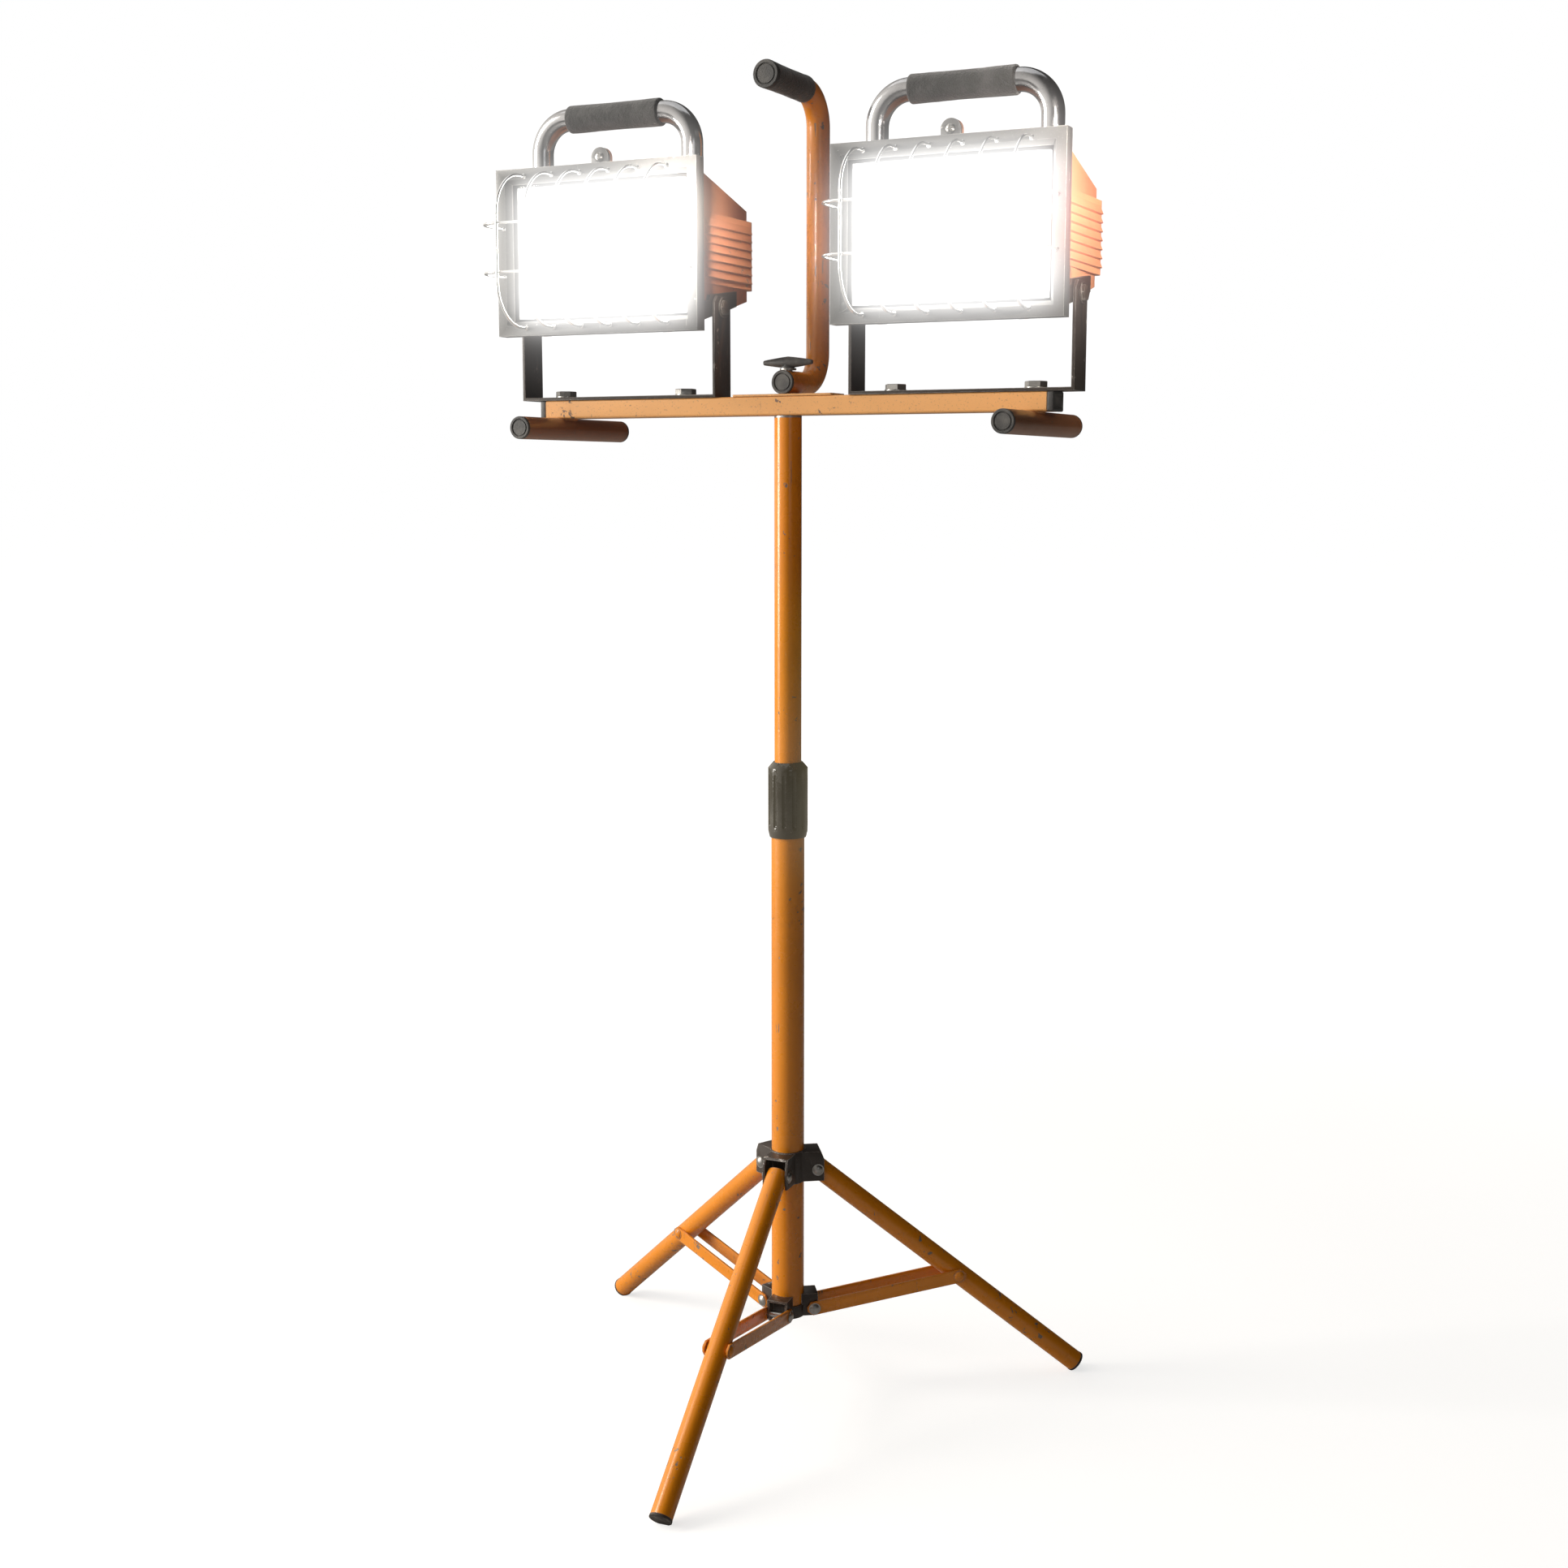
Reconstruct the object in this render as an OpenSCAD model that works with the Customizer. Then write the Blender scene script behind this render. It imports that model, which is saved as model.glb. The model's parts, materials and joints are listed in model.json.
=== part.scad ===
// Twin-head halogen work light on a folding telescopic tripod.
// Millimetres, +Z up. The origin is on the floor, on the axis of the mast.
// X runs along the crossbar, and both heads face -Y.

/* [Stand] */
// Outside diameter of the lower mast tube
lower_d = 31; // [26:0.5:38]
// Wall of the lower mast tube
lower_wall = 1.5; // [1:0.1:2]
// Height of the lower end of the lower tube above the floor
lower_bottom = 88; // [80:1:110]
// Height of the top of the lower tube
lower_top = 585; // [520:1:720]
// Outside diameter of the upper mast tube
upper_d = 25; // [20:0.5:26]
// Wall of the mast's upper tube
upper_wall = 1.5; // [1:0.1:2]
// Height of the underside of the crossbar
bar_z = 932.8; // [860:0.1:1130]
// Length of upper tube left inside the lower tube at rest
overlap = 155; // [120:1:190]
// Diameter of the turned spigot on which the crossbar swivels
spigot_d = 16; // [14:0.5:18]

/* [Lock ring] */
// Height of the twist ring
ring_h = 70.6; // [55:0.1:85]
// Thickness of the ring outside the lower tube
ring_wall = 3; // [2.5:0.1:5]
// Number of grip flutes round the ring
flutes = 12; // [8:1:16]
// Width of one flute
flute_w = 4.4; // [3:0.1:5]

/* [Legs] */
// Outside diameter of a leg tube
leg_d = 20; // [16:0.5:24]
// Wall of a leg tube
leg_wall = 1.5; // [1:0.1:2]
// Angle between an opened leg and the mast
spread = 50.5; // [42:0.5:58]
// Height of the leg pivots above the floor
pivot_z = 223; // [200:1:268]
// Distance from a leg's pivot to its brace rivet
brace_at = 181; // [160:1:215]
// Direction of the first leg, counted from +X
leg_turn = 34; // [0:1:60]
// Height of the pressed leg collar
collar_h = 29; // [25:1:35]
// Thickness of the pressed steel brackets
plate_t = 2; // [1.5:0.1:2.5]
// Diameter of the rivets on which legs and braces turn
rivet_d = 6; // [5:0.1:7]

/* [Braces] */
// Width of a brace strip
strip_w = 13; // [11:0.5:15]
// Thickness of a brace strip
strip_t = 2; // [1.5:0.1:2.5]
// Height of the hub's brace pins above the floor
hub_pin_z = 83.5; // [78:0.5:100]
// Height of the bottom hub
hub_h = 22; // [18:1:26]

/* [Crossbar] */
// Length of the crossbar tube without its end caps
bar_l = 500; // [440:1:600]
// Depth of the crossbar, front to back
bar_d = 28; // [24:0.5:34]
// Height of the crossbar
bar_h = 17; // [14:0.5:21]
// Wall of the crossbar
bar_wall = 1.6; // [1.2:0.1:2]
// Diameter of the rest tubes below the crossbar
rest_d = 20.8; // [18:0.1:25]
// Distance of each rest tube from the middle of the crossbar
rest_x = 235.5; // [215:0.5:238]
// Length of a rest tube
rest_l = 178; // [150:1:215]

/* [Carrying handle] */
// Diameter of the carrying handle's tube
handle_d = 21.5; // [18:0.5:26]
// Height of the handle between the axes of its two legs
handle_h = 261; // [220:1:310]
// Reach of the handle behind the mast
handle_back = 63.4; // [55:0.1:76]
// Radius of the handle's bends
handle_bend = 30; // [25:1:36]

/* [Heads] */
// Distance of each head from the middle of the crossbar
head_x = 170.5; // [165:0.5:190]
// Width of a head's bezel
bezel_w = 211; // [180:1:218]
// Height of a head's bezel
bezel_h = 151; // [130:1:170]
// Depth of the bezel
bezel_t = 14; // [12:0.5:17]
// Width of the bezel's rim round the glass
bezel_rim = 9.5; // [8:0.5:11]
// Distance of the bezel's front face in front of the mast's axis
bezel_front = 52; // [48:0.5:60]
// Depth of the housing behind the bezel
house_depth = 109; // [92:1:120]
// Wall of the cast housing
house_wall = 2.5; // [2:0.1:3]
// Height of the housing's back wall
house_back_h = 83; // [70:1:95]
// Thickness of the glass
glass_t = 4; // [3:0.5:5]
// Diameter of the head handle's tube
grip_tube_d = 20; // [16:0.5:22]
// Distance between the legs of a head's handle
grip_span = 159; // [140:1:170]
// Height of a head's handle above its bezel
grip_rise = 47; // [42:1:60]
// Thickness of the foam on the handles
foam_t = 2.6; // [2:0.1:4]
// Distance from the bezel's front to the front of the wire guard
guard_reach = 46; // [38:1:55]
// Diameter of the guard's wires
wire_d = 2.6; // [2:0.1:3.2]

/* [Yokes] */
// Width of the yoke's strap
strap_w = 31; // [26:0.5:36]
// Thickness of the yoke's strap
strap_t = 2.8; // [2.2:0.1:3.5]
// Height of the tilt pivot above the crossbar
tilt_rise = 81; // [78:0.5:100]
// Diameter of the tilt bolts
tilt_bolt_d = 8; // [6:0.5:10]

/* [Hidden] */
$fn = 64;

// Paint and material colours
paint = "#f28a12";
bar_paint = "#ef9a3c";
dark_steel = "#35302d";
zinc = "#9b9a96";
black = "#1d1c1b";

// Fits: a running fit, a free gap between moving pieces, and a small overshoot for cuts
run = 0.06;
gap = 0.4;
over = 1;

// Mast
lower_r = lower_d / 2;
upper_r = upper_d / 2;
lower_bore_r = lower_r - lower_wall;
upper_bore_r = upper_r - upper_wall;
upper_bottom = lower_top - overlap;
spigot_r = spigot_d / 2;
spigot_flange = 1.5;
spigot_gap = 0.3;
upper_top = bar_z - spigot_gap - spigot_flange;
screw_r = 4;

// Lock ring, round the top of the lower tube
ring_r = lower_r + ring_wall;
ring_bottom = lower_top - 39.7;
ring_top = ring_bottom + ring_h;
ring_seat = lower_top + 2;
wedge_top = ring_top - 13;

// Leg collar and legs: the leg's side just clears the collar's sleeve when it is folded
leg_r = leg_d / 2;
collar_bore_r = lower_r + run;
collar_r = collar_bore_r + 1.4;
pivot_r = collar_r + 0.5 + leg_r;
collar_z = pivot_z - 11;
ear_in = leg_r + gap;
ear_out = ear_in + plate_t;
ear_reach = pivot_r + 6;
rivet_r = rivet_d / 2;
rivet_head_r = rivet_r + 2.4;
leg_stub = 3;
cap_lip = 0.3;
cap_r = leg_r + cap_lip;
cap_t = 2;
cap_bite = 1;
leg_l = (pivot_z + cap_bite - cap_r * sin(spread)) / cos(spread);

// Braces run from the hub's pins to the rivet points on the legs
hub_pin_r = lower_r + 9;
rivet_out = pivot_r + brace_at * sin(spread);
rivet_z = pivot_z - brace_at * cos(spread);
brace_l = sqrt(pow(rivet_out - hub_pin_r, 2) + pow(rivet_z - hub_pin_z, 2));
brace_tilt = atan2(rivet_z - hub_pin_z, rivet_out - hub_pin_r);
strip_end = strip_w / 2 + 0.5;
strip_out = ear_in + strip_t;
hub_z = hub_pin_z - 7.5;
hub_half = ear_in - 0.3;
hub_reach = hub_pin_r + 3.5;

// Crossbar and what stands on it
bar_top = bar_z + bar_h;
bar_corner = 2;
cap_end = 6;
rest_r = rest_d / 2;
tube_wall = 1.5;
weld_flat = 0.4;
rest_z = bar_z + weld_flat - rest_r;
rest_front = -80;
plate_l = 100;
plate_top = bar_top + 2;
handle_r = handle_d / 2;
handle_z = plate_top + handle_r - weld_flat;
handle_front = -10;
grip_front = -42;
handle_top = handle_z + handle_h;
knob_z = handle_z + handle_r + 7.2;
knob_r = 5.4;
knob_l = 49;

// Yokes, one round each head
pivot_height = bar_z + bar_h + tilt_rise;
strap_out = bezel_w / 2 - 1.5;
strap_in = strap_out - strap_t;
tilt_r = tilt_bolt_d / 2;
bolt_out = rest_x;
bolt_in = 2 * head_x - rest_x;
hex_flats = 17;
hex_h = 6;
bolt_r = 5;

// Heads, drawn round X = 0 and then moved to their places
head_z = pivot_height + 52.5;
door_back = -bezel_front + bezel_t;
house_front = door_back + 0.7;
house_end = door_back + house_depth;
house_half = strap_in - 3.5;
house_half_back = house_half - 5;
house_half_h = bezel_h / 2 - 7.5;
cover_half = strap_in - 0.7;
cover_h = 63;
cover_front = house_front + 1.3;
cover_end = house_end + 6;
fin_count = 7;
glass_half_w = bezel_w / 2 - bezel_rim - 1.5;
glass_half_h = bezel_h / 2 - bezel_rim - 1.5;
glass_y = -bezel_front + 7.2;
hinge_y = door_back + 3.5;
hinge_z = head_z - bezel_h / 2 + 2.7;
hinge_x = 60;
hinge_r = 1.5;
lug_z = head_z + bezel_h / 2 + 6.3;
lug_r = 9;
trough_r = house_half_h - 8.5;
trough_y = house_front + 3.5;
trough_half = house_half - 11;
lamp_y = trough_y + 26;
grip_y = -11;
grip_tube_r = grip_tube_d / 2;
grip_z = head_z + bezel_h / 2 + grip_rise;
grip_bend = 30;
foam_l = 97;
wire_r = wire_d / 2;
gland_z = head_z - 24;
gland_bore_r = 3.6;

// ---------- Shared shapes ----------

// Rectangle centred on the origin with round corners
module round_rect(w, h, r) {
    square([w - 2 * r, h], center = true);
    square([w, h - 2 * r], center = true);
    for (x = [-1, 1], y = [-1, 1])
        translate([x * (w / 2 - r), y * (h / 2 - r)]) circle(r);
}

// Cylinder between two heights
module rod(z0, z1, r) {
    translate([0, 0, z0]) cylinder(h = z1 - z0, r = r);
}

// Cylinder along X between two places
module rod_x(x0, x1, r) {
    translate([x0, 0, 0]) rotate([0, 90, 0]) cylinder(h = x1 - x0, r = r);
}

// Cylinder along Y between two places
module rod_y(y0, y1, r) {
    translate([0, y1, 0]) rotate([90, 0, 0]) cylinder(h = y1 - y0, r = r);
}

// Tube between two heights
module tube(z0, z1, r, bore) {
    difference() {
        rod(z0, z1, r);
        rod(z0 - over, z1 + over, bore);
    }
}

// Hexagonal prism standing on z0
module hex(z0, h, flats) {
    translate([0, 0, z0]) cylinder(h = h, r = flats / sqrt(3), $fn = 6);
}

// Turns a child drawn for a leg along +X to the direction of leg k
module leg_way(k) {
    rotate([0, 0, leg_turn + 120 * k]) children();
}

// Solid U in the XY plane: two legs from Y = 0 to -Y, two bends and a straight front
module hoop(r, half, reach, bend) {
    for (side = [-1, 1]) {
        translate([side * half, 0, 0]) rod_y(bend - reach, 0, r);
        translate([side * (half - bend), bend - reach, 0]) rotate([0, 0, side > 0 ? 270 : 180])
            rotate_extrude(angle = 90) translate([bend, 0]) circle(r);
    }
    translate([0, -reach, 0]) rod_x(bend - half, half - bend, r);
}

// Domed rivet head on a face at y, pointing to +Y or -Y
module dome(y, way, r, h) {
    translate([0, y, 0]) rotate([-90 * way, 0, 0]) {
        cylinder(h = h * 0.3, r = r);
        translate([0, 0, h * 0.3]) cylinder(h = h * 0.7, r1 = r * 0.86, r2 = r * 0.42);
    }
}

// Through rivet along Y with a domed head at each end
module rivet(shank, half) {
    rod_y(-half, half, shank);
    for (way = [-1, 1]) dome(way * half, way, shank + 2.4, 2.6);
}

// ---------- Mast and its fittings ----------

module lower_tube() {
    color(paint) tube(lower_bottom, lower_top, lower_r, lower_bore_r);
}

// Plastic wedge on the top of the lower tube, which the ring squeezes on to the upper tube
module grip_wedge() {
    color(black) difference() {
        union() {
            rod(lower_top - 12, lower_top, lower_bore_r);
            rod(lower_top, wedge_top, lower_bore_r + 0.9);
        }
        rod(lower_top - 12 - over, wedge_top + over, upper_r + run);
        translate([lower_bore_r, 0, (lower_top + wedge_top) / 2 + 1])
            cube([lower_d, 1.2, wedge_top - lower_top], center = true);
    }
}

module tube_plug() {
    color(black) rod(lower_bottom, lower_bottom + 14, lower_bore_r);
}

// Pressed hub below the lower tube, with three arms for the braces
module bottom_hub() {
    color(dark_steel) difference() {
        union() {
            rod(hub_z, lower_bottom, lower_r + 1.5);
            for (k = [0:2]) leg_way(k) hub_arm();
        }
        rod(lower_bottom, hub_z + hub_h + over, lower_r);
        rod(hub_z + plate_t, lower_bottom + over, lower_r - 4);
        for (k = [0:2]) leg_way(k)
            translate([hub_pin_r, 0, hub_pin_z]) rod_y(-hub_half - over, hub_half + over, rivet_r);
    }
}

// One arm of the hub: two cheeks and a top web
module hub_arm() {
    difference() {
        translate([0, -hub_half, hub_z]) cube([hub_reach, 2 * hub_half, hub_h]);
        translate([lower_r + 1.5, -hub_half + plate_t, hub_z - over])
            cube([hub_reach, 2 * (hub_half - plate_t), hub_h - plate_t + over]);
        translate([hub_reach, 0, hub_z]) rotate([0, 45, 0])
            cube([5, 4 * hub_half, 5], center = true);
    }
}

module hub_pins() {
    color(zinc) for (k = [0:2]) leg_way(k)
        translate([hub_pin_r, 0, hub_pin_z]) rivet(rivet_r, strip_out + 0.3);
}

// ---------- Leg collar, legs and braces ----------

// Sliding pressed collar: a sleeve with three pairs of ears
module leg_collar() {
    color(dark_steel) difference() {
        union() {
            tube(collar_z - 1, collar_z + collar_h + 1, collar_r, collar_bore_r);
            difference() {
                for (k = [0:2]) leg_way(k) collar_ears();
                rod(collar_z - over, collar_z + collar_h + over, (collar_bore_r + collar_r) / 2);
            }
        }
        for (k = [0:2]) leg_way(k)
            translate([pivot_r, 0, pivot_z]) rod_y(-ear_out - over, ear_out + over, rivet_r);
    }
}

// Two ears joined by a web over the top of the leg
module collar_ears() {
    difference() {
        rotate([90, 0, 0]) translate([0, 0, -ear_out]) linear_extrude(2 * ear_out)
            polygon([[0, collar_z], [ear_reach, collar_z], [ear_reach, collar_z + collar_h - 7.4],
                [ear_reach - 3, collar_z + collar_h], [0, collar_z + collar_h]]);
        translate([0, -ear_in, collar_z - over])
            cube([ear_reach + over, 2 * ear_in, collar_h - plate_t + over]);
    }
}

module leg_pins() {
    color(zinc) for (k = [0:2]) leg_way(k)
        translate([pivot_r, 0, pivot_z]) rivet(rivet_r, ear_out);
}

// Places a child drawn along -Z from its pivot as an opened leg
module opened_leg(k) {
    leg_way(k) translate([pivot_r, 0, pivot_z]) rotate([0, -spread, 0]) children();
}

// Leg tube with its pivot hole and the cross bush that takes the brace rivets
module leg_tube(k) {
    color(paint) opened_leg(k) difference() {
        union() {
            tube(cap_t - leg_l, leg_stub, leg_r, leg_r - leg_wall);
            translate([0, 0, -brace_at]) rod_y(-leg_r + 0.6, leg_r - 0.6, rivet_r + 1.2);
            rod_y(-leg_r + 0.6, leg_r - 0.6, rivet_r + 1.2);
        }
        rod_y(-leg_d, leg_d, rivet_r + run);
        translate([0, 0, -brace_at]) rod_y(-leg_d, leg_d, rivet_r);
    }
}

// Plug with a flange, worn flat where it stands on the floor
module foot_cap(k) {
    color(black) difference() {
        opened_leg(k) {
            rod(-leg_l, cap_t - leg_l, cap_r);
            rod(cap_t - leg_l, cap_t - leg_l + 14, leg_r - leg_wall);
        }
        translate([0, 0, -50]) cube([4 * leg_l, 4 * leg_l, 100], center = true);
    }
}

// Outline of a brace strip with clipped ends, from pin to pin along X
module strip_outline() {
    clip = strip_w / 2 - 2;
    difference() {
        polygon([[-strip_end, -2], [-strip_end + clip, -strip_w / 2],
            [brace_l + strip_end - clip, -strip_w / 2], [brace_l + strip_end, -2],
            [brace_l + strip_end, 2], [brace_l + strip_end - clip, strip_w / 2],
            [-strip_end + clip, strip_w / 2], [-strip_end, 2]]);
        for (x = [0, brace_l]) translate([x, 0]) circle(rivet_r + run);
    }
}

// Pair of brace strips with the short rivets that hold them to the leg
module brace(k) {
    color(bar_paint) leg_way(k) translate([hub_pin_r, 0, hub_pin_z])
        rotate([0, -brace_tilt, 0]) for (way = [-1, 1]) {
            translate([0, way * (ear_in + strip_t / 2), 0]) rotate([90, 0, 0])
                linear_extrude(strip_t, center = true) strip_outline();
            translate([brace_l, 0, 0]) {
                rod_y(min(way * ear_in, way * strip_out), max(way * ear_in, way * strip_out), rivet_r);
                dome(way * strip_out, way, rivet_head_r, 2.6);
            }
        }
}

// ---------- Telescopic part ----------

// Fluted twist ring
module lock_ring() {
    color(black) difference() {
        union() {
            rod(ring_bottom + 6, ring_top - 5.3, ring_r);
            translate([0, 0, ring_bottom]) cylinder(h = 6, r1 = lower_r + 1.6, r2 = ring_r);
            translate([0, 0, ring_top - 5.3]) cylinder(h = 5.3, r1 = ring_r, r2 = upper_r + 1.4);
        }
        rod(ring_bottom - over, ring_seat, lower_r + gap);
        rod(ring_seat - over, wedge_top + gap, lower_bore_r + 0.9 + gap);
        rod(ring_seat, ring_top + over, upper_r + gap);
        for (i = [0:flutes - 1]) rotate([0, 0, (i + 0.5) * 360 / flutes]) {
            translate([ring_r + 0.7, 0, 0]) {
                rod(ring_bottom + 12, ring_top - 13, flute_w / 2);
                for (z = [ring_bottom + 12, ring_top - 13]) translate([0, 0, z]) sphere(flute_w / 2);
            }
        }
    }
}

module upper_tube() {
    color(paint) tube(upper_bottom, upper_top, upper_r, upper_bore_r);
}

module slide_bush() {
    color(black) tube(upper_bottom, upper_bottom + 30, lower_bore_r - run, upper_r);
}

// Turned plug with the spigot that the crossbar swivels on and the clamp screw's hole
module mast_spigot() {
    color(zinc) difference() {
        union() {
            rod(upper_top - 30, upper_top, upper_bore_r);
            rod(upper_top, upper_top + spigot_flange, upper_r);
            rod(upper_top + spigot_flange, bar_top - 0.3, spigot_r);
        }
        rod(bar_z - 16, bar_top + over, screw_r + run);
    }
}

// ---------- Crossbar, rest tubes and carrying handle ----------

module crossbar() {
    color(bar_paint) difference() {
        translate([-bar_l / 2, 0, bar_z + bar_h / 2]) rotate([90, 0, 90]) linear_extrude(bar_l) difference() {
            round_rect(bar_d, bar_h, bar_corner);
            round_rect(bar_d - 2 * bar_wall, bar_h - 2 * bar_wall, bar_corner - 1);
        }
        rod(bar_z - over, bar_top + over, spigot_r + run);
        for (x = [-bolt_out, bolt_out]) translate([x, 0, 0]) rod(bar_z - over, bar_top + over, bolt_r);
        for (x = [-bolt_in, bolt_in]) translate([x, 0, 0]) rod(bar_z + bar_h / 2, bar_top + over, bolt_r);
    }
}

// Cap with a spigot for a tube end at the origin, facing -Y
module tube_cap(r, wall, bite = 12) {
    rod_y(-2.5, 0, r);
    rod_y(0, bite, r - wall);
}

// Caps of the crossbar, the rest tubes and the carrying handle
module end_caps() {
    color(dark_steel) {
        for (way = [-1, 1]) {
            translate([way * (bar_l + cap_end) / 2, 0, bar_z + bar_h / 2]) rotate([90, 0, 90])
                linear_extrude(cap_end, center = true) round_rect(bar_d, bar_h, bar_corner);
            translate([way * (bar_l / 2 - 3.5), 0, bar_z + bar_h / 2])
                cube([7, bar_d - 2 * bar_wall - 2, bar_h - 2 * bar_wall - 2], center = true);
            translate([way * rest_x, 0, rest_z]) {
                translate([0, rest_front, 0]) tube_cap(rest_r, tube_wall);
                translate([0, rest_front + rest_l, 0]) rotate([0, 0, 180]) tube_cap(rest_r, tube_wall);
            }
        }
        difference() {
            translate([0, handle_front, handle_z])
                tube_cap(handle_r, tube_wall, -handle_front - screw_r - gap);
            translate([-handle_r, handle_front - 3, plate_top - 2]) cube([handle_d, handle_back, 2]);
        }
        translate([0, grip_front, handle_top]) {
            tube_cap(handle_r, tube_wall);
            difference() {
                rod_y(-3.5, 0, handle_r + foam_t - 1.2);
                rod_y(-3.5 - over, -2.5, handle_r - 2.4);
                rod_y(-2.5, over, handle_r);
            }
        }
    }
}

module rest_tube(way) {
    color(paint) translate([way * rest_x, 0, rest_z]) difference() {
        rod_y(rest_front, rest_front + rest_l, rest_r);
        rod_y(rest_front - over, rest_front + rest_l + over, rest_r - tube_wall);
        translate([0, 0, bar_z - rest_z + rest_r / 2])
            cube([rest_d + 2, bar_d + 1, rest_r], center = true);
        rod(0, rest_r + over, bolt_r);
    }
}

module saddle_plate() {
    color(bar_paint) difference() {
        translate([0, 0, bar_top]) linear_extrude(2) round_rect(plate_l, bar_d, 2);
        rod(bar_top - over, plate_top + over, screw_r + gap);
    }
}

// Solid along the handle's line: lower leg, back and upper leg, longer by extra at each end
module handle_line(r, extra) {
    foot = handle_back - handle_bend;
    translate([0, 0, handle_z]) rod_y(handle_front - extra, foot, r);
    translate([0, handle_back, 0]) rod(handle_z + handle_bend, handle_top - handle_bend, r);
    translate([0, 0, handle_top]) rod_y(grip_front - extra, foot, r);
    translate([0, foot, handle_z + handle_bend]) rotate([0, 90, 0])
        rotate_extrude(angle = 90) translate([handle_bend, 0]) circle(r);
    translate([0, foot, handle_top - handle_bend]) rotate([0, 90, 0]) rotate([0, 0, 90])
        rotate_extrude(angle = 90) translate([handle_bend, 0]) circle(r);
}

// Bent tube of the carrying handle, flat where it is welded to its plate
module handle_tube() {
    color(paint) difference() {
        handle_line(handle_r, 0);
        handle_line(handle_r - tube_wall, over);
        translate([-handle_r, handle_front - over, plate_top - 2]) cube([handle_d, handle_back, 2]);
        rod(plate_top - over, handle_z + handle_r + over, screw_r + gap);
    }
}

// Foam sleeve on the upper leg of the carrying handle
module handle_foam() {
    color(black) translate([0, 0, handle_top]) difference() {
        rod_y(grip_front, handle_back - handle_bend, handle_r + foam_t - 1.2);
        rod_y(grip_front - over, handle_back - handle_bend + over, handle_r);
    }
}

// ---------- Clamp that holds the crossbar on the mast ----------

module clamp_screw() {
    color(zinc) {
        rod(bar_z - 8, knob_z - 4, screw_r);
        rod(handle_z + handle_r + gap, handle_z + handle_r + gap + 1.6, screw_r + 3.5);
    }
}

// T-shaped hand knob
module clamp_knob() {
    color(dark_steel) difference() {
        union() {
            translate([0, 0, knob_z]) {
                rod_x(-knob_l / 2 + 7, knob_l / 2 - 7, knob_r);
                for (way = [-1, 1]) translate([way * (knob_l / 2 - 7), 0, 0])
                    rotate([0, way * 90, 0]) cylinder(h = 7, r1 = knob_r, r2 = knob_r * 0.62);
            }
            rod(handle_z + handle_r + gap + 1.6, knob_z, 6);
        }
        rod(handle_z, knob_z - 4, screw_r);
    }
}

// ---------- Yokes ----------

// U-shaped strap bolted to the crossbar, with a clipped top on each arm
module yoke(way) {
    half_w = strap_w / 2;
    arm_top = pivot_height + 10;
    color(dark_steel) translate([way * head_x, 0, 0]) difference() {
        union() {
            translate([-strap_out, -half_w, bar_top]) cube([2 * strap_out, strap_w, strap_t]);
            for (side = [-1, 1]) translate([side * (strap_out - strap_t / 2), 0, 0]) rotate([90, 0, 90])
                linear_extrude(strap_t, center = true)
                    polygon([[-half_w, bar_top], [half_w, bar_top], [half_w, arm_top - 6],
                        [half_w - 6, arm_top], [6 - half_w, arm_top], [-half_w, arm_top - 6]]);
        }
        translate([0, 0, pivot_height]) rod_x(-bezel_w, bezel_w, tilt_r + run);
        for (x = [bolt_in, bolt_out]) translate([way * (x - head_x), 0, 0])
            rod(bar_top - over, bar_top + strap_t + over, bolt_r);
    }
}

// Hexagon bolts of the yokes: the inner ones in nuts inside the crossbar, the outer ones in the rest tubes
module yoke_bolts() {
    nut_z = bar_top - bar_wall - hex_h;
    color(zinc) for (way = [-1, 1]) {
        translate([way * bolt_in, 0, 0]) {
            hex(bar_top + strap_t, hex_h, hex_flats);
            rod(nut_z - 1, bar_top + strap_t, bolt_r);
            difference() {
                hex(nut_z, hex_h, hex_flats);
                rod(nut_z - over, bar_top, bolt_r);
            }
        }
        translate([way * bolt_out, 0, 0]) {
            hex(bar_top + strap_t, hex_h, hex_flats);
            rod(rest_z - 4, bar_top + strap_t, bolt_r);
        }
    }
}

// ---------- Heads ----------

module at_head(way) {
    translate([way * head_x, 0, 0]) children();
}

// Solid with a rectangular front and a smaller back, made of two crossed wedges
module taper_box(y0, y1, half_w0, half_w1, half_h0, half_h1) {
    intersection() {
        translate([0, 0, head_z - 2 * half_h0]) linear_extrude(4 * half_h0)
            polygon([[-half_w0, y0], [half_w0, y0], [half_w1, y1], [-half_w1, y1]]);
        translate([-2 * half_w0, 0, 0]) rotate([90, 0, 90]) linear_extrude(4 * half_w0)
            polygon([[y0, head_z - half_h0], [y1, head_z - half_h1],
                [y1, head_z + half_h1], [y0, head_z + half_h0]]);
    }
}

// Outer form of the housing
module house_form() {
    taper_box(house_front, house_end, house_half, house_half_back, house_half_h, house_back_h / 2);
}

// Inner form of the housing, open at the front
module house_hollow() {
    grow = (house_half - house_half_back) / (house_end - house_front);
    grow_h = (house_half_h - house_back_h / 2) / (house_end - house_front);
    taper_box(house_front - over, house_end - house_wall,
        house_half - house_wall + grow * over, house_half_back - house_wall + grow * house_wall,
        house_half_h - house_wall + grow_h * over, house_back_h / 2 - house_wall + grow_h * house_wall);
}

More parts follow.
